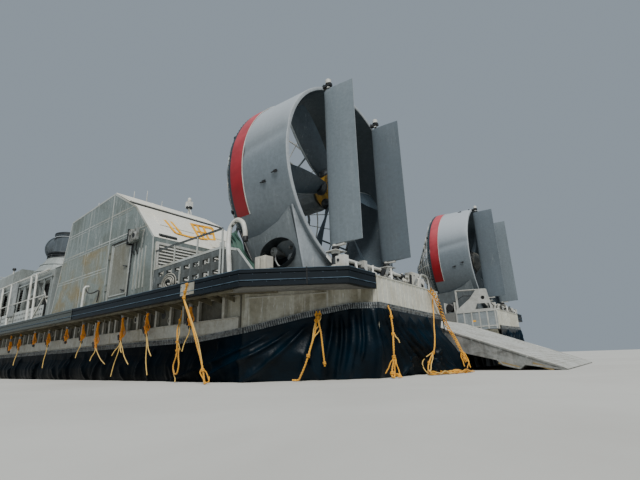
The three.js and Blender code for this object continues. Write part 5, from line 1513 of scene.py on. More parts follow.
for label, side in sides:
    shell = revolve(f"duct_shell_{label}", duct_profile, duct_spans,
                    [duct_paint.made, dark_lip, pale_lip, inner_painted_shade], side, 240, crease)
    revolve(f"duct_band_{label}", [(band_aft, 1.9705), (1.64, 1.9715), (1.72, 1.9805), (1.82, 1.9895),
                                   (1.905, 1.9935), (band_fore, 1.992), (band_fore, 1.975),
                                   (band_aft, 1.955)], [0] * 8, [red_band.made], side, 200, band_dent,
            *band_ends)
    build = Weldment(white_paint, bolt_steel, black_rubber, dark_lip)
    for x in (1.617, 1.921):
        build.kind = 0
        ring = [Vector(on_duct(x, 1.978, a)) for a in np.radians(np.linspace(*band_ends, 110))]
        build.add(*swept(ring, lambda share: [(-0.006, -0.006), (0.006, -0.006), (0.006, 0.006),
                                              (-0.006, 0.006)]))
    build.kind = 1
    for i in range(132):
        a = 2 * pi * i / 132
        out = Vector((0.35, cos(a), sin(a))).normalized()
        build.turned(on_duct(1.985, 1.979, a), out, [(-0.004, 0.016), (0.008, 0.016), (0.011, 0.01)], 8)
    build.kind = 2
    for x, a in ((1.15, -13.7), (0.87, -11.0), (1.15, 193.7), (0.87, 191.0), (1.3, 60), (1.0, 120)):
        a = radians(a)
        out = Vector((0, cos(a), sin(a)))
        spot = Vector((x, duct_y, duct_z)) + out * 1.952
        around = Vector((0, -sin(a), cos(a)))
        for thick, lug in ((0.022, ((-0.02, -0.035), (0.02, -0.03), (0.02, 0.035), (-0.02, 0.03))),
                           (0.018, ((-0.006, 0.03), (0.006, 0.03), (0.006, 0.09), (-0.006, 0.09)))):
            build.rings([[spot + out * w + around * u + Vector((v, 0, 0)) for u, v in lug]
                         for w in (0.0, thick)])
    # Upper rudder bearings: a black bracket on the exit rim under a white cap with a steel pin
    for offset in (-rudder_out, rudder_out):
        y = duct_y + offset
        build.kind = 2
        build.rings([[(x, y + w, z) for w, z in ((-0.04, 5.26), (0.04, 5.26), (0.035, 5.32), (-0.035, 5.32))]
                     for x in (0.434, 0.625)])
        build.bar((0.6, y, 5.27), (0.74, y, 5.34), 0.05, 0.025)
        build.kind = 0
        build.turned((0.5, y, 5.33), to_sky, [(0, 0.055), (0.012, 0.056), (0.07, 0.056), (0.085, 0.042),
                                              (0.095, 0.02)], 18)
        build.turned((0.5, y, 5.225), to_sky, [(0, 0.034), (0.024, 0.034)], 18)
        build.kind = 1
        for u, v in ((-0.035, 0.035), (0.035, 0.035), (-0.035, -0.035), (0.035, -0.035)):
            build.turned((0.56 + v, y + u, 5.33), to_sky, [(0, 0.01), (0.008, 0.01)], 6)
    build.piece(f"duct_trim_{label}", slot="white_paint", side=side)
    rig.replaces(shell, f"duct_{label}")

# Duct pedestals. Moulded composite fairings that stand on the side deck and carry the ducts. The
# outboard recess holds a round valve body and a hatch on its floor, and its walls are painted dark:
# painted shade.
pedestal_skin = plate_finish("pedestal_skin", (116, 124, 128), (98, 104, 104), (170, 176, 178),
                             patch=0.8, stain=0.6, streaks=0.45, scuffs=0.4, seed=56.0, bump=0.08, dust=0.2)
dress(pedestal_skin, *pair("duct_pedestal"))
recess_painted_shade = plate_finish("recess_painted_shade", (36, 44, 50), (22, 28, 32), (70, 80, 84), patch=3.0,
                           stain=0.6, streaks=0.4, scuffs=0.3, seed=57.0, dust=0.2)
valve_grey = plate_finish("valve_grey", (150, 154, 154), (110, 108, 100), (180, 182, 180), patch=6.0,
                          stain=0.6, streaks=0.2, scuffs=0.4, metal=0.3, seed=58.0)
niche = Weldment(recess_painted_shade, valve_grey, pale_lip, black_rubber)
niche_x, niche_z, mouth_y = 1.17, 1.98, 5.98
outline = [(niche_x + 0.377 * cos(a), niche_z + 0.247 * sin(a)) for a in (pi * k / 24 for k in range(48))]
niche.slab([(x, duct_y + 1.151, z) for x, z in outline], (0, 0.006, 0))
ring_in = [(x, duct_y + 1.155, z) for x, z in outline]
for a, b in zip(ring_in, ring_in[1:] + ring_in[:1]):
    skin = [a, b, (b[0], mouth_y, b[2]), (a[0], mouth_y, a[2])]
    niche.rings([skin, [(niche_x + (x - niche_x) * 0.985, y, niche_z + (z - niche_z) * 0.985)
                        for x, y, z in skin]])
niche.kind = 1
niche.turned((1.39, 5.54, 2.07), to_port, [(0, 0.06), (0.2, 0.06), (0.2, 0.085), (0.27, 0.085),
                                           (0.29, 0.06), (0.29, 0.03), (0.32, 0.025)], 8)
niche.tube([(1.36, 5.8, 2.0), (1.31, 5.85, 1.9), (1.24, 5.86, 1.8), (1.18, 5.84, 1.76)], 0.014)
niche.turned((1.08, 5.54, 2.1), to_port, [(0, 0.035), (0.2, 0.03), (0.22, 0.02)], 12)
niche.tube([(1.02, 5.6, 1.78), (1.05, 5.66, 1.9), (1.0, 5.62, 2.02), (0.9, 5.6, 2.06)], 0.014)
niche.kind = 2
niche.rings([[(niche_x + r * 0.377 / 0.38 * cos(a), y, niche_z + r * 0.65 * sin(a)) for a in
              (2 * pi * k / 8 for k in range(8))] for y, r in ((5.545, 0.14), (5.58, 0.12))])
niche.piece("pedestal_niche", slot="duct_composite", both=True)
# The aft face and the tube along its outboard edge are pale: painted light on the face and a painted highlight along
# the ridge.
aft_face = Weldment(plate_finish("pedestal_aft_painted_light", (168, 175, 180), (132, 138, 140), (206, 210, 210),
                                 patch=2.4, stain=0.7, streaks=0.3, scuffs=0.8, seed=59.0, bump=0.08,
                                 dust=0.2))
edges = [(z, duct_y + sqrt(1.93 ** 2 - (duct_z - z) ** 2), 5.82 + 0.259 * (z - deck_z))
         for z in np.linspace(1.67, 2.6, 24)]
aft_face.rings([[(0.697, near, z), (0.697, far, z), (0.691, far, z), (0.691, near, z)] for z, near,
                far in edges])
aft_face.tube([(0.7, 5.828, 1.61), (0.7, 6.1, 2.66)], 0.017, 10)
aft_face.piece("pedestal_aft_face", slot="duct_composite", both=True, bevel=0.002)
# Every other bar at the pedestal foot takes the dark finish: painted shade in the slots.
slots = Weldment(recess_painted_shade, pedestal_skin)
for i in range(9):
    y = 5.78 - 0.085 * i
    slots.kind = i % 2
    slots.bar((0.703, y, 1.61), (0.712, y, 1.70 + 0.01 * (i % 3)), 0.03, 0.02, to_bow)
slots.piece("pedestal_foot_slots", slot="duct_composite", both=True)

# Inlet cage. A cone of white painted tubes and hoops, bolted to the duct's inlet lip, that keeps
# debris off the blades.
dress(pedestal_skin, *pair("drive_frame"))
cage = Weldment(white_paint, strip_steel)
cage_stations = [(2.06, 1.93), (2.28, 1.58), (2.5, 1.235), (2.74, 0.86), (2.98, 0.5), (3.15, 0.25)]
for i in range(24):
    a = 2 * pi * (i + 0.5) / 24
    if i % 3 == 1:
        continue
    cage.tube([on_duct(x, r, a) for x, r in (cage_stations[0], cage_stations[-1])], 0.011, 6)
for x, radius in cage_stations[:-1]:
    cage.turned((x, duct_y, duct_z), to_bow, [(-0.011, radius - 0.011), (-0.011, radius + 0.011),
                                              (0.011, radius + 0.011), (0.011, radius - 0.011)], 48,
                closed=True)
cage.kind = 1
for i in range(8):
    a = 2 * pi * (i + 0.5) / 8
    out = Vector((0, cos(a), sin(a)))
    cage.turned(Vector((2.04, duct_y, duct_z)) + out * 1.93, to_bow,
                [(-0.02, 0.05), (0.012, 0.05), (0.02, 0.03)], 10)
cage.piece("inlet_cage", slot="white_paint", both=True)

# Propellers. Broad composite blades, painted dark blue-grey for the shade they stand in, with worn
# bright leading edges. The port hub is yellow and the starboard one grey.
# Darker than the blades' own light grey: painted shade.
blade_skin_painted_shade = plate_finish("blade_skin_painted_shade", (56, 70, 80), (42, 54, 62), (84, 98, 106), patch=1.6,
                          stain=0.5, streaks=0.3, scuffs=0.25, seed=61.0, bump=0.05, dust=0.0, coat=0.1)
blade_edge = plate_finish("blade_edge", (168, 176, 180), (120, 128, 132), (200, 204, 206), patch=5.0,
                          stain=0.5, streaks=0.2, scuffs=0.5, metal=0.6, seed=62.0)
hub_yellow = plate_finish("hub_yellow", (190, 142, 26), (104, 92, 44), (206, 176, 90), patch=6.0,
                          stain=0.9, streaks=0.5, scuffs=0.6, seed=63.0)
hub_grey = plate_finish("hub_grey", (70, 74, 72), (40, 42, 42), (206, 200, 180), patch=9.0,
                        stain=0.9, streaks=0.5, scuffs=0.9, seed=64.0)
blade_rows = [(0.32, 0.28, 62, 0.09), (0.42, 0.32, 57, 0.08), (0.65, 0.42, 47, 0.062),
              (0.875, 0.475, 40, 0.052), (1.1, 0.52, 34, 0.044), (1.325, 0.53, 29.5, 0.035),
              (1.55, 0.52, 26, 0.028), (1.68, 0.485, 24, 0.022), (1.768, 0.43, 23, 0.016)]
foil = [(-0.5, 0.0), (-0.49, 0.12), (-0.42, 0.3), (-0.3, 0.43), (-0.12, 0.5), (0.08, 0.46), (0.3, 0.3),
        (0.44, 0.11), (0.5, 0.0), (0.42, -0.03), (0.2, -0.09), (0.0, -0.12), (-0.3, -0.1), (-0.46, -0.06)]
hub_shape = [(0.76, 0.0), (0.768, 0.09), (0.79, 0.15), (0.83, 0.215), (0.88, 0.27), (0.93, 0.315),
             (0.98, 0.35), (1.06, 0.37), (1.29, 0.37), (1.32, 0.352), (1.34, 0.33), (1.34, 0.0)]
for label, side in sides:
    build = Weldment(blade_skin_painted_shade, blade_edge, hub_yellow if side > 0 else hub_grey, strip_steel)
    for i in range(6):
        turn_to = (i + 0.85) * pi / 3
        radial = Vector((0, cos(turn_to), sin(turn_to)))
        around = Vector((0, -sin(turn_to), cos(turn_to)))
        rings = []
        for radius, chord, pitch, thick in blade_rows:
            angle = radians(pitch)
            ring = []
            for u, v in foil:
                axial = u * chord * sin(angle) + v * thick * cos(angle)
                sideways = u * chord * cos(angle) - v * thick * sin(angle)
                ring.append(Vector((1.15 - axial, duct_y, duct_z)) + radial * radius + around * sideways)
            rings.append(ring)
        first = len(build.faces)
        build.kind = 0
        build.rings(rings)
        for face in range(first, len(build.faces) - 2):
            if (face - first) % len(foil) in (0, 1, len(foil) - 1):
                build.kinds[face] = 1
        build.kind = 3
        build.turned(Vector((1.15, duct_y, duct_z)) + radial * 0.33, radial,
                     [(0, 0.15), (0.05, 0.145), (0.07, 0.11), (0.12, 0.09)], 20)
    build.kind = 2
    build.turned((0, duct_y, duct_z), to_bow, hub_shape[6:-1], 48)
    build.turned((0, duct_y, duct_z), to_bow, hub_shape[1:8], 48)
    build.kind = 3
    build.turned((0.755, duct_y, duct_z), to_bow, [(0.0, 0.03), (0.012, 0.075), (0.05, 0.13),
                                                   (0.06, 0.13)], 24)
    build.kind = 2
    build.turned((1.34, duct_y, duct_z), to_bow, [(0.0, 0.15), (0.14, 0.16), (0.16, 0.12), (0.26, 0.1)], 24)
    build.turned((0.77, duct_y, duct_z), to_stern, [(0, 0.13), (0.06, 0.13), (0.07, 0.1), (0.15, 0.1),
                                                    (0.16, 0.13), (0.2, 0.125), (0.22, 0.09),
                                                    (0.24, 0.04)], 24)
    build.kind = 3
    for i in range(12):
        a = 2 * pi * i / 12
        build.turned(on_duct(0.985, 0.353, a), (-0.5, cos(a), sin(a)),
                     [(0, 0.014), (0.012, 0.014)], 6)
    prop = build.piece(f"propeller_blades_{label}", f"propeller_{label}", "blade_composite", sharp=40,
                       side=side)
    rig.replaces(prop, f"propeller_{label}")

# Rudders. Hollow composite aerofoils with paler strips along both edges: painted highlights where the
# edges catch the light. The inner ones take a darker copy of the skin: painted shade between the ducts.
rudder_skin = plate_finish("rudder_skin", (122, 133, 140), (108, 117, 122), (142, 151, 156), patch=0.6,
                           stain=0.5, streaks=0.35, scuffs=0.15, seed=65.0, bump=0.05, dust=0.0)
# A darker copy of the rudder skin for the inner rudders: painted shade.
painted_shade_skin = plate_finish("rudder_skin_inner", (98, 109, 117), (86, 96, 101), (120, 130, 136), patch=0.6,
                           stain=0.5, streaks=0.35, scuffs=0.15, seed=66.0, bump=0.05, dust=0.0)
half_section = [(0.6, 0.004), (0.597, 0.013), (0.586, 0.022), (0.568, 0.031), (0.545, 0.038),
                (0.5, 0.0445), (0.45, 0.046), (0.375, 0.0452), (0.3, 0.042), (0.215, 0.0345),
                (0.13, 0.024), (0.04, 0.013), (-0.04, 0.005)]
for label, side in sides:
    for place_name, offset, skin in (("outer", rudder_out, rudder_skin),
                                     ("inner", -rudder_out, painted_shade_skin)):
        y = duct_y + offset
        build = Weldment(skin, pale_lip, strip_steel, white_paint)
        loop = [(x, y + h) for x, h in half_section] + [(x, y - h) for x, h in reversed(half_section)]
        count = len(loop)
        levels = [2.13, 2.135] + [2.135 + (5.165 - 2.135) * k / 10 for k in range(1, 11)] + [5.17]
        rings = []
        for k, z in enumerate(levels):
            pull = 0.985 if k in (0, len(levels) - 1) else 1.0
            rings.append([(0.3 + (px - 0.3) * pull, y + (py - y) * pull, z) for px, py in loop])
        build.rings(rings)
        # The faces at both edges take the pale finish: painted highlights.
        for face in range(len(build.faces) - 2):
            if face % count in (count // 2 - 1, count - 1):
                build.kinds[face] = 1
        build.kind = 2
        for z0, z1 in ((5.15, 5.32), (2.025, 2.15)):
            build.turned((0.5, y, z0), to_sky, [(0, 0.022), (z1 - z0, 0.022)], 16)
        build.kind = 3
        build.bar((0.5, y, 2.11), (0.3, y, 2.11), 0.07, 0.03)
        build.turned((0.5, y, 2.098), to_sky, [(0, 0.05), (0.03, 0.05)], 16)
        rudder = f"rudder_{place_name}_{label}"
        blade = build.piece(f"rudder_{place_name}_skin_{label}", rudder, "duct_composite", sharp=30,
                            side=side)
        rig.replaces(blade, rudder)

# Rudder gear. White housings on the transom deck carry the rudder feet between black seals, and
# white push rods with black joints link the four rudders.
dress(strip_steel, *pair("rudder_gear"))
gear = Weldment(white_paint, black_rubber, bolt_steel)
for offset in (-rudder_out, rudder_out):
    y = duct_y + offset
    gear.kind = 0
    gear.turned((0.5, y, 1.6), to_sky, [(0, 0.12), (0.02, 0.12), (0.026, 0.09), (0.17, 0.088),
                                        (0.18, 0.07), (0.29, 0.06)], 24)
    gear.turned((0.5, y, 1.96), to_sky, [(0, 0.066), (0.004, 0.075), (0.05, 0.075), (0.055, 0.06)], 20)
    gear.rings([[(0.36, y - 0.13, z), (0.62, y - 0.13, z), (0.64, y + 0.12, z), (0.4, y + 0.14, z)]
                for z in (2.0, 2.012)])
    gear.bar((0.5, y, 2.0), (0.27, y, 1.83), 0.05, 0.025)
    for spread in (0.1, -0.1):
        gear.bar((0.4, y, 1.64), (0.62, y + spread, 1.97), 0.02, 0.06)
    gear.kind = 1
    gear.turned((0.5, y, 1.89), to_sky, [(0, 0.064), (0.07, 0.064)], 20)
    gear.turned((0.5, y, 2.015), to_sky, [(0, 0.062), (0.06, 0.062), (0.07, 0.05)], 20)
    gear.turned((0.27, y, 1.8), to_sky, [(-0.05, 0.04), (0.05, 0.04)], 16)
    gear.kind = 2
    for k in range(8):
        a = pi * k / 4
        gear.turned((0.5 + 0.105 * cos(a), y + 0.105 * sin(a), 1.62), to_sky, [(0, 0.011), (0.012, 0.011)],
                    6)
gear.kind = 0
gear.tube([(0.19, 5.43, 1.78), (0.2, 4.6, 1.79), (0.21, 3.55, 1.8)], 0.03, 12)
gear.tube([(0.16, 3.45, 1.79), (0.15, 2.6, 1.77)], 0.026, 12)
for y in (5.5, 4.95, 3.3, 2.7):
    gear.rings([[(0.12, y - 0.05, z), (0.3, y - 0.05, z), (0.3, y + 0.05, z), (0.12, y + 0.05, z)]
                for z in (1.62, 1.84)])
gear.kind = 1
for y in (4.22, 3.5):
    gear.turned((0.205, y, 1.79), to_port, [(-0.06, 0.04), (-0.05, 0.055), (0.05, 0.055), (0.06, 0.04)], 14)
for y in (5.3, 4.0, 2.8):
    gear.tube([(0.35, y + 0.1, 1.64), (0.33, y, 1.72), (0.36, y - 0.12, 1.69), (0.34, y - 0.3, 1.63)],
              0.018, 8)
for i in range(14):
    y, z = 5.25 - 0.19 * i, 1.6 + 0.09 * abs(sin(2.3 * i))
    gear.kind = i % 3
    gear.bar((0.1 + 0.05 * (i % 2), y, 1.6), (0.16 + 0.1 * sin(i), y - 0.05, z + 0.16), 0.03, 0.05)
    gear.turned((0.14, y - 0.08, z), (0, 1, 0.3 * sin(i)), [(0, 0.03), (0.06, 0.045), (0.1, 0.02)], 8)
gear.piece("rudder_linkage", slot="white_paint", both=True)


# Fan houses. Painted plate over the lift fans, its outboard bays open, panelled or louvred behind
# posts, with perforated screens at their foot and grey weather cloth on the deck-edge posts.
fan_paint = plate_finish("fan_paint", (146, 152, 150), (108, 110, 100), (190, 194, 190), patch=0.9,
                         stain=0.7, streaks=0.6, scuffs=0.7, seed=71.0, dust=0.1)
dress(fan_paint, *pair("fan_house"))
bay = Weldment(fan_paint, black_hole, white_paint, dark_bay)
for i, (x0, x1) in enumerate([(9.85, 10.9), (11.05, 12.1), (12.25, 13.3), (13.45, 14.9), (15.05, 16.45)]):
    # A black sheet at the back of each bay: painted shade for the dark inside.
    bay.kind = 1
    bay.block((x0 + 0.01, x1 - 0.01), (6.1695, 6.174), (1.79, 2.77))
    bay.kind = 2
    if i == 0:
        bay.bar((x0 + 0.05, 6.26, 1.85), (x1 - 0.05, 6.26, 2.72), 0.03, 0.03)
        bay.bar((x0 + 0.02, 6.28, 2.3), (x1 - 0.02, 6.28, 2.3), 0.03, 0.03)
    elif i == 1:
        bay.kind = 0
        bay.block((x0 + 0.03, x1 - 0.03), (6.24, 6.26), (1.82, 2.74))
        bay.kind = 3
        bay.turned(((x0 + x1) / 2, 6.26, 2.3), to_port, [(0, 0.2), (0.02, 0.2), (0.03, 0.17)], 24)
    else:
        for k in range(12):
            z = 1.83 + 0.08 * k
            bay.rings([[(x, 6.19, z + 0.05), (x, 6.19, z + 0.056), (x, 6.29, z + 0.006), (x, 6.29, z)]
                       for x in (x0 + 0.02, x1 - 0.02)])
bay.kind = 0
for x in np.arange(9.8, 16.6, 0.55):
    bay.block((x - 0.012, x + 0.012), (6.35, 6.39), (1.66, 2.86))
for z in (1.64, 2.86):
    bay.block((9.72, 16.58), (6.35, 6.4), (z - 0.02, z + 0.02))
for x in (9.72, 11.0, 12.2, 13.4):
    bay.bar((x, 5.62, 3.495), (x, 6.35, 3.066), 0.05, 0.02)
bay.bar((9.72, 5.6, 3.505), (13.5, 5.6, 3.505), 0.05, 0.02)
bay.piece("fan_house_louvres", slot="painted_grey", both=True)
screens = Weldment(house_seam, black_hole)
for x0 in np.arange(9.9, 16.0, 1.3):
    x1 = x0 + 1.2
    screens.kind = 0
    screens.block((x0, x1), (6.42, 6.432), (1.66, 2.02))
    for x in (x0 + 0.05, x1 - 0.05):
        screens.bar((x, 6.42, 1.7), (x, 6.36, 1.7), 0.03, 0.02)
    # The perforations are black discs: painted shade for the dark behind them.
    screens.kind = 1
    for row in range(2):
        for i in range(8):
            screens.turned((x0 + 0.1 + 0.143 * i, 6.432, 1.77 + 0.14 * row), to_port,
                           [(0, 0.032), (0.002, 0.032)], 10)
screens.piece("perforated_screens", slot="bare_aluminium", both=True)
posts = Weldment(white_paint, black_rubber)
posts.bar((9.95, 6.44, 2.25), (10.62, 6.44, 1.72), 0.03, 0.03)
for x in (10.6, 11.05, 12.96, 13.9, 14.9, 15.9):
    posts.tube([(x, 6.46, 1.62), (x + 0.18, 6.44, 2.4), (x + 0.34, 6.42, 3.06)], 0.032, 8)
posts.tube([(9.9, 6.42, 3.06), (13.0, 6.42, 3.07), (16.5, 6.42, 3.07)], 0.024, 8)
posts.tube([(9.9, 6.45, 2.3), (13.0, 6.45, 2.31), (16.4, 6.45, 2.31)], 0.016, 8)
posts.tube([(13.7, 6.35, 3.5), (13.7, 6.35, 3.68)], 0.02, 8)
posts.kind = 1
posts.turned((13.7, 6.35, 3.62), to_sky, [(0, 0.03), (0.02, 0.055), (0.06, 0.06), (0.09, 0.045),
                                          (0.1, 0.02)], 16)
posts.piece("deck_edge_posts", slot="white_paint", both=True)

cloth_top = 3.09
weather_cloth = grimy("weather_cloth", (138, 142, 142), (80, 84, 82), 3.0, 0.8, 0.75, 73.0)
weather_cloth.bump(weather_cloth.placed(grain, Size=400.0, Coarse=9.0, Share=0.3)["Height"], 0.5, 0.01)
for label, hand in sides:
    for k, (x0, x1, foot) in enumerate(((12.6, 13.05, 1.9), (14.2, 15.0, 2.2))):
        span, level = np.meshgrid(np.linspace(x0, x1, 60), np.linspace(0, 1, 20), indexing="ij")
        swing = folded(span - x0, level, [(0.15 + 0.23 * i, 0.08 * sin(2 * i), 0.05, 0.05, 0.0, 1.1)
                                          for i in range(6)], x1 - x0, 9 + k)
        rows = [[(span[i, j] - 0.1 * level[i, j], hand * (6.42 + 1.2 * swing[i, j]),
                  cloth_top + (foot - cloth_top) * level[i, j]) for j in range(20)] for i in range(60)]
        name = f"weather_cloth_{label}_{k + 1}"
        sheet_piece(name, rows, weather_cloth.made, 0.004, slot="white_paint")
        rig.sheet(bpy.data.objects[name], flat=(round(1.05 * (x1 - x0), 2), round(3.12 - foot, 2)),
                 held="hung", rests_on=["deck_edge_posts"])

roof_top = Weldment(fan_paint, white_paint, strip_steel)
for x, y, z in ((10.75, 4.7, 3.5), (15.3, 4.9, 3.7)):
    roof_top.kind = 0
    roof_top.turned((x, y, z), to_sky, [(0, 0.78), (0.10, 0.78), (0.14, 0.74), (0.14, 0.66), (0.04, 0.64),
                                        (0.0, 0.64)], 40, closed=True)
    roof_top.kind = 2
    for i in range(9):
        off_y = 0.15 * (i - 4)
        half = sqrt(0.7 ** 2 - off_y ** 2)
        roof_top.bar((x - half, y + off_y, z + 0.1), (x + half, y + off_y, z + 0.1), 0.015, 0.02)
    roof_top.bar((x, y - 0.7, z + 0.11), (x, y + 0.7, z + 0.11), 0.03, 0.03)
roof_top.kind = 1
for first, last, z in ((9.85, 13.4, 3.5), (13.8, 16.45, 3.7)):
    for x in np.linspace(first, last, 4):
        roof_top.tube([(x, 3.83, z), (x, 3.83, z + 0.75)], 0.02, 8)
    for rise in (0.75, 0.38):
        roof_top.tube([(first, 3.83, z + rise), (last, 3.83, z + rise)], 0.018, 8)
roof_top.piece("fan_house_top", slot="painted_grey", both=True)

# Bow thrusters. Round elbow ducts that turn on their plinths, dark grey with dark rings round the top
# of the elbow, a bolted flange at the foot, pale joint bands and vanes inside the mouth, which faces forward.
thruster_skin = plate_finish("thruster_skin", (82, 91, 98), (60, 67, 70), (128, 135, 139),
                             patch=0.8, stain=0.6, streaks=0.4, scuffs=0.3, seed=75.0, bump=0.08, dust=0.05)
flange_dark = plate_finish("flange_dark", (30, 36, 40), (20, 24, 26), (70, 74, 76), patch=2.0,
                           stain=0.5, streaks=0.3, scuffs=0.4, metal=0.2, seed=76.0, dust=0.05)
thruster_x, thruster_y, thruster_z, drum = 13.0, 5.0, 4.66, 0.476
build = Weldment(thruster_skin, flange_dark, inner_painted_shade, bolt_steel, pale_lip)
build.turned((thruster_x, thruster_y, 0), to_sky, [(4.25, 0.478), (4.9, 0.478), (4.91, 0.46), (4.97, 0.46),
                                                   (4.98, 0.485), (5.06, 0.48), (5.11, 0.4), (5.13, 0.2)],
             56)
build.tube([(thruster_x, thruster_y, thruster_z), (13.2, thruster_y, thruster_z),
            (13.42, thruster_y, thruster_z)], drum, 48)
build.turned((0, thruster_y, thruster_z), to_bow, [(13.4, 0.478), (13.72, 0.48), (13.72, 0.525),
                                                   (13.8, 0.527), (13.802, 0.51), (13.79, 0.44),
                                                   (13.7, 0.43), (13.4, 0.43)], 56, closed=True)
build.kind = 1
build.turned((thruster_x, thruster_y, 4.16), to_sky, [(0, 0.615), (0.045, 0.62), (0.05, 0.58),
                                                      (0.09, 0.58), (0.095, 0.62), (0.14, 0.615),
                                                      (0.142, 0.48), (0.0, 0.48)], 56, closed=True)
build.turned((thruster_x, thruster_y, 5.0), to_sky, [(0, drum), (0, 0.49), (0.07, 0.486), (0.07, 0.47)],
             56, closed=True)
build.turned((thruster_x, thruster_y, 4.83), (0.12, 0, 1), [(0, 0.47), (0, 0.486), (0.06, 0.486),
                                                            (0.06, 0.47)], 56, closed=True)
build.kind = 4
for z in (4.32, 4.9):
    build.turned((thruster_x, thruster_y, z), to_sky, [(0, drum), (0, 0.488), (0.02, 0.488), (0.02, drum)],
                 56, closed=True)
# Dark disc inside the mouth: painted shade.
build.kind = 2
build.turned((13.41, thruster_y, thruster_z), to_bow, [(0, 0.428), (0.02, 0.428)], 48)
build.kind = 0
for k in range(-2, 3):
    y, half = thruster_y + 0.15 * k, sqrt(0.425 ** 2 - (0.15 * k) ** 2)
    build.block((13.5, 13.74), (y - 0.006, y + 0.006), (thruster_z - half, thruster_z + half))
build.kind = 3
for i in range(24):
    a = 2 * pi * i / 24
    build.turned((thruster_x + 0.6 * cos(a), thruster_y + 0.6 * sin(a), 4.255), to_sky,
                 [(0, 0.016), (0.056, 0.014)], 6)
    build.turned((13.8, thruster_y + 0.485 * cos(a), thruster_z + 0.485 * sin(a)), to_bow,
                 [(-0.004, 0.013), (0.012, 0.012)], 6)
for label, side in sides:
    nozzle = build.piece(f"thruster_nozzle_{label}", f"bow_thruster_{label}", "painted_grey", side=side)
    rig.replaces(nozzle, f"bow_thruster_{label}")
plinth = Weldment(fan_paint, flange_dark)
for z, radius in ((3.52, 0.935), (3.8, 0.77), (4.1, 0.595)):
    plinth.kind = 1 if z > 4 else 0
    plinth.turned((thruster_x, thruster_y, z), to_sky, [(0, radius - 0.01), (0, radius + 0.02),
                                                        (0.035, radius + 0.005), (0.035, radius - 0.025)],
                  56, closed=True)
plinth.piece("thruster_plinth_rings", slot="painted_grey", both=True)


# Cabins. Grey painted plate with rubber-gasketed windows, wipers on the front panes, rain gutters
# over the doors and hand rails round the roofs. The glass is dark from inside.
cabin_paint = plate_finish("cabin_paint", (142, 148, 150), (116, 118, 112), (172, 176, 176), patch=1.0,
                           stain=0.5, streaks=0.5, scuffs=0.3, seed=81.0, dust=0.2)
dress(cabin_paint, "control_cabin_stbd", "lookout_cabin_port", "cabin_door_stbd", "cabin_door_port")
pane_glass = grimy("pane_glass", (30, 42, 46), (58, 66, 66), 3.0, 0.5, 0.08, 82.0)
pane_glass.wear(Alpha=0.62, Specular_IOR_Level=0.8)
cabins = {"control": {"y": -1, "aft": 17.8, "side": [(18.4, 19.5, 3.6, 4.4), (19.75, 20.85, 3.6, 4.4)],
                      "front": ((21.7, 4.75), (22.25, 3.5)), "pane_z": (3.62, 4.52),
                      "roof": (18.1, 21.7, 4.75)}, "lookout": {"y": 1, "aft": 18.3,
                                                               "side": [(18.8, 19.7, 2.85, 3.55),
                                                                        (20.0, 20.9, 2.85, 3.55)],
                                                               "front": ((21.5, 3.9), (22.05, 3.0)),
                                                               "pane_z": (3.08, 3.72),
                                                               "roof": (18.5, 21.5, 3.9)},}
front_panes = [(3.95, 4.7), (4.8, 5.3), (5.4, 6.15)]
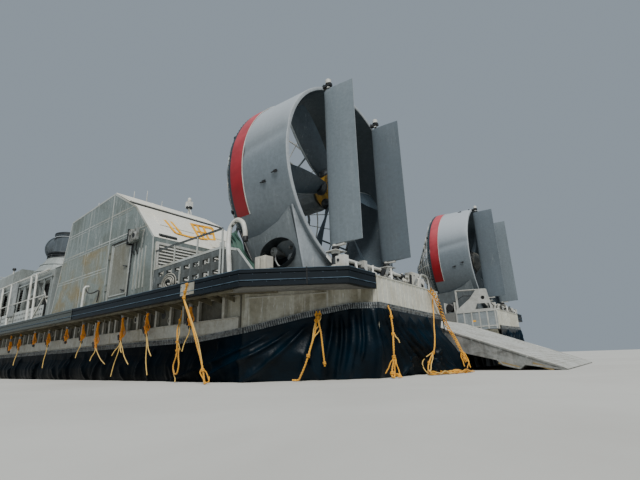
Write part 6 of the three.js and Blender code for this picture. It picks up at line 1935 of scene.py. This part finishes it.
for label, cabin in cabins.items():
    side = cabin["y"]
    frame_work, glass = Weldment(black_rubber, white_paint, strip_steel), Weldment(pane_glass.made)
    for x0, x1, z0, z1 in cabin["side"]:
        for y in (3.75, 6.35):
            out = 0.012 if y > 5 else -0.012
            corners = [(x0, z0), (x1, z0), (x1, z1), (x0, z1)]
            for a, b in zip(corners, corners[1:] + corners[:1]):
                frame_work.bar((a[0], y + out / 2, a[1]), (b[0], y + out / 2, b[1]), 0.014, 0.05,
                               (b[1] - a[1], 0, a[0] - b[0]))
            inset = y - out * 2
            glass.block((x0 + 0.004, x1 - 0.004), (inset - 0.004, inset + 0.004), (z0 + 0.004, z1 - 0.004))
    (x_top, z_top), (x_low, z_low) = cabin["front"]
    lean_way = Vector((x_low - x_top, 0, z_low - z_top)).normalized()
    normal = Vector((-lean_way.z, 0, lean_way.x))

    def on_front(y, z, proud):
        x = x_top + (x_low - x_top) * (z - z_top) / (z_low - z_top)
        return Vector((x, y, z)) + normal * proud

    for y0, y1 in front_panes:
        z0, z1 = cabin["pane_z"]
        corners = [(y0, z0), (y1, z0), (y1, z1), (y0, z1)]
        for a, b in zip(corners, corners[1:] + corners[:1]):
            frame_work.kind = 0
            p, q = on_front(*a, 0.004), on_front(*b, 0.004)
            frame_work.bar(p, q, 0.05, 0.016, normal)
        glass.rings([[on_front(y, z, w) for y, z in ((y0 + 0.004, z0 + 0.004), (y1 - 0.004, z0 + 0.004),
                                                     (y1 - 0.004, z1 - 0.004), (y0 + 0.004, z1 - 0.004))]
                     for w in (-0.03, -0.022)])
        frame_work.kind = 2
        middle = (y0 + y1) / 2
        frame_work.tube([on_front(middle, z0 - 0.06, 0.02), on_front(middle + 0.16, z1 - 0.2, 0.03)],
                        0.008, 6)
        frame_work.bar(on_front(middle + 0.12, z0 + 0.2, 0.026), on_front(middle + 0.2, z1 - 0.06, 0.026),
                       0.012, 0.014, normal)
        frame_work.turned(on_front(middle, z0 - 0.06, 0.0), normal, [(0, 0.03), (0.03, 0.026)], 12)
    frame_work.kind = 1
    x0, x1, z = cabin["roof"]
    loop = [(x0 + 0.1, 3.85), (x1 - 0.1, 3.85), (x1 - 0.1, 6.25), (x0 + 0.1, 6.25)]
    for a, b in zip(loop, loop[1:] + loop[:1]):
        frame_work.tube([(*a, z + 0.32), (*b, z + 0.32)], 0.014, 8)
        for share in (0.0, 0.5):
            x, y = a[0] + (b[0] - a[0]) * share, a[1] + (b[1] - a[1]) * share
            frame_work.tube([(x, y, z), (x, y, z + 0.32)], 0.014, 8)
    aft = cabin["aft"]
    frame_work.bar((aft - 0.03, 4.5, 3.44), (aft - 0.03, 5.5, 3.44), 0.06, 0.02)
    frame_work.tube([(aft - 0.01, 4.45, 2.1), (aft - 0.07, 4.45, 2.15), (aft - 0.07, 4.45, 2.9),
                     (aft - 0.01, 4.45, 2.95)], 0.013, 8)
    frame_work.kind = 2
    frame_work.turned((x0 + 0.6, 4.4, z), to_sky, [(0, 0.05), (0.1, 0.04), (0.12, 0.014), (0.75, 0.008)], 12)
    frame_work.turned((x1 - 0.5, 5.6, z), to_sky, [(0, 0.12), (0.06, 0.12), (0.08, 0.09), (0.2, 0.09),
                                                   (0.26, 0.05)], 20)
    frame_work.piece(f"{label}_cabin_fittings", slot="dark_metal", side=side)
    glass.piece(f"{label}_cabin_glass", slot="painted_grey", side=side)
    hatch = Weldment(cabin_paint, strip_steel)
    hatch.rings([[(aft - 0.004, y, z) for y, z in ((4.72, 2.55), (5.2, 2.55), (5.2, 3.2), (4.72, 3.2))],
                 [(aft - 0.014, y, z) for y, z in ((4.74, 2.57), (5.18, 2.57), (5.18, 3.18), (4.74, 3.18))]])
    hatch.kind = 1
    hatch.turned((aft, 4.7, 2.3), to_stern, [(0, 0.03), (0.04, 0.026), (0.045, 0.012)], 12)
    hatch.bar((aft - 0.04, 4.7, 2.3), (aft - 0.04, 4.84, 2.28), 0.016, 0.02)
    hatch.piece(f"{label}_door_fittings", "cabin_door_stbd" if side < 0 else "cabin_door_port",
                "painted_grey", side=side)

# Bow ramp. The same welded aluminium box panel as the stern ramp, hinged at the bow and shut
# upright, with its tread bars facing aft and stiffeners on its outer face.
bow_spot = on_ramp(24.42, 1.215, 75, 1)
bow = Weldment(tread_metal, bow_ramp_metal)
for i in range(20):
    s = 0.28 + 0.144 * i
    across_ramp(bow, bow_spot, [(s - 0.012, 0.094), (s + 0.012, 0.094), (s + 0.005, 0.114),
                                (s - 0.005, 0.114)], -4.3, 4.3)
bow.kind = 1
for y in (-4.2, -2.8, -1.4, 0.0, 1.4, 2.8, 4.2):
    bow.rings([[bow_spot(s, y + a, w) for a, w in ((-0.02, low + 0.002), (0.02, low + 0.002),
                                                   (0.02, low - 0.03), (-0.02, low - 0.03))] for s,
               low in ((0.3, -0.15), (2.6, -0.12), (3.28, -0.035))])
for s, low in ((0.7, -0.146), (1.6, -0.134), (2.5, -0.122)):
    across_ramp(bow, bow_spot, [(s - 0.02, low + 0.002), (s + 0.02, low + 0.002), (s + 0.02, low - 0.03),
                                (s - 0.02, low - 0.03)], -4.38, 4.38)
bow.piece("bow_ramp_treads", body="bow_ramp", slot="bare_aluminium")

# Side deck fittings. Steel bollards on plates, raised access hatches and tubular hand rails, welded
# or bolted down along both deck margins.
deck_gear = Weldment(strip_steel, deck_paint, white_paint)
for x, y in ((4.0, 6.1), (17.2, 6.1), (21.9, 6.1), (23.6, 5.2)):
    deck_gear.kind = 0
    for dx in (-0.14, 0.14):
        deck_gear.turned((x + dx, y, 1.6), to_sky, [(0, 0.055), (0.2, 0.055), (0.215, 0.075),
                                                    (0.235, 0.075), (0.24, 0.06)], 16)
    deck_gear.block((x - 0.26, x + 0.26), (y - 0.1, y + 0.1), (1.6, 1.62))
for x in (17.0, 23.0):
    deck_gear.kind = 1
    deck_gear.block((x - 0.35, x + 0.35), (4.9, 5.6), (1.6, 1.635))
    deck_gear.kind = 0
    deck_gear.bar((x - 0.2, 5.25, 1.65), (x + 0.2, 5.25, 1.65), 0.03, 0.02)
deck_gear.kind = 2
for x in np.arange(17.0, 22.6, 1.1):
    deck_gear.tube([(x, 6.5, 1.6), (x, 6.5, 2.5)], 0.018, 8)
for z, radius in ((2.5, 0.018), (2.05, 0.012)):
    deck_gear.tube([(17.0, 6.5, z), (22.5, 6.5, z)], radius, 8)
deck_gear.piece("side_deck_fittings", slot="dark_metal", both=True)


# Lashings. Orange rope bundles made fast under the fender, each with an iron cap and hook, and
# thin pale lines that hang from them nearly to the ground. They are on the port side only.
orange_rope = rope_finish("orange_rope", (226, 142, 24), (130, 74, 24))
lashings = [(2.95, 1.28, 0.9, [(2.98, 0.5)]), (4.39, 1.3, 0.85, [(4.04, 0.12), (3.96, 0.45)]),
            (5.4, 1.3, 0.77, [(5.44, 0.09), (4.78, 0.32), (5.1, 0.55), (5.5, 0.5)]),
            (6.53, 1.3, 0.67, [(5.77, 0.34), (6.5, 0.42)]), (7.35, 1.3, 0.86, [(7.3, 0.5)]),
            (8.3, 1.26, 0.9, []), (9.5, 1.22, 0.86, [(9.3, 0.3)]), (10.6, 1.3, 0.92, []),
            (11.86, 1.2, 0.86, [(11.7, 0.4)]), (12.75, 1.16, 0.82, []), (14.0, 1.2, 0.84, [(13.8, 0.4)]),
            (15.4, 1.3, 0.92, []), (17.0, 1.3, 0.92, [(16.8, 0.35)]), (19.2, 1.3, 0.92, []),
            (21.4, 1.3, 0.92, [])]
for number, (x, high, low, lines) in enumerate(lashings):
    sway = 0.035 * sin(2.6 * number)
    line = smooth_route([at(x, 6.3, 1.37), at(x, 6.3, high), at(x + sway, 6.31, (high + low) / 2),
                         at(x - 0.4 * sway, 6.3, low)], 60)
    long = length_of(line)
    points, faces = swept(line, rope_ring(0.03, 3, 0.2 / long))
    bundle = mesh_piece(f"lashing_{number + 1}", points, faces, orange_rope, slot="yellow_rope", sharp=60)
    iron = Weldment(bolt_steel, black_rubber)
    iron.turned((x, 6.3, high - 0.02), to_sky, [(0, 0.036), (0.05, 0.04), (0.06, 0.03), (0.085, 0.03)], 12)
    iron.kind = 1
    iron.bar((x + 0.09 + sway, 6.33, low + 0.15), (x + 0.02, 6.33, low + 0.05), 0.03, 0.045)
    iron.turned((x - 0.01, 6.3, low - 0.03), (0.2, 0, 1), [(0, 0.02), (0.03, 0.034), (0.06, 0.03)], 8)
    with_it = [iron.piece(f"lashing_{number + 1}_irons", slot="dark_metal")]
    with_it += [strand(f"lashing_{number + 1}_turn_{k + 1}", line, 0.012, start, end, bulge, spread, 0.02,
                       orange_rope) for k, (start, end, bulge,
                                            spread) in enumerate(((0.3, 0.98, 0.04, -0.01),
                                                                  (0.5, 1.0, -0.035, 0.03),
                                                                  (0.4, 0.8, 0.04, 0.05)))]
    with_it.append(knot(f"lashing_{number + 1}_hitch", line, 0.72, 0.022, orange_rope))
    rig.cord(bundle, exit=line[0], length=round(long, 3), diameter=0.06, far_end="fitting", stiffness="limp",
            lay="hanging", path=line, with_pieces=with_it)
    for k, (end_x, end_z) in enumerate(lines):
        tail = smooth_route([at(x - 0.02, 6.31, low + 0.03), at(x - 0.04 + 0.2 * (end_x - x), 6.33,
                                                                low - 0.25 * (low - end_z)),
                             at(x + 0.6 * (end_x - x), 6.37, low - 0.65 * (low - end_z)),
                             at(end_x, 6.4, end_z)], 50)
        long = length_of(tail)
        points, faces = swept(tail, rope_ring(0.011, 2, 0.06 / long))
        fall = mesh_piece(f"lashing_{number + 1}_line_{k + 1}", points, faces, pale_rope,
                          slot="yellow_rope", sharp=60)
        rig.cord(fall, exit=tail[0], length=round(long, 3), diameter=0.022, far_end="bare", stiffness="limp",
                lay="hanging", path=tail)


# Floor and light. A plain pale floor out to the horizon under a soft, even studio sky, with one
# large soft lamp high on the port side.
floor_mesh = bpy.data.meshes.new("floor")
floor_mesh.from_pydata([(-400, -400, 0), (400, -400, 0), (400, 400, 0), (-400, 400, 0)], [], [(0, 1, 2, 3)])
floor = bpy.data.objects.new("floor", floor_mesh)
bpy.context.scene.collection.objects.link(floor)
floor_finish = grimy("pale_floor", (196, 194, 188), (178, 175, 168), 0.35, 0.6, 0.85, 9.0).made
floor_mesh.materials.append(floor_finish)
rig.stage(floor)

world = bpy.data.worlds.new("studio_sky")
bpy.context.scene.world = world
world.use_nodes = True
sky = world.node_tree.nodes["Background"]
sky.inputs["Color"].default_value = shade(200, 216, 230)
sky.inputs["Strength"].default_value = 0.48
lamp = bpy.data.objects.new("soft_lamp", bpy.data.lights.new("soft_lamp", "SUN"))
lamp.data.energy = 3.5
lamp.data.angle = radians(20)
lamp.data.color = (1.0, 1.0, 0.97)
lamp.rotation_euler = Vector((0.5, -0.62, -1.22)).to_track_quat("-Z", "Y").to_euler()
bpy.context.scene.collection.objects.link(lamp)

seen_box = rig.bounds()
with open("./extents.json", "w") as sizes:
    json.dump({"cad": [list(corner) for corner in cad_box], "seen": [list(corner) for corner in seen_box]}, sizes)
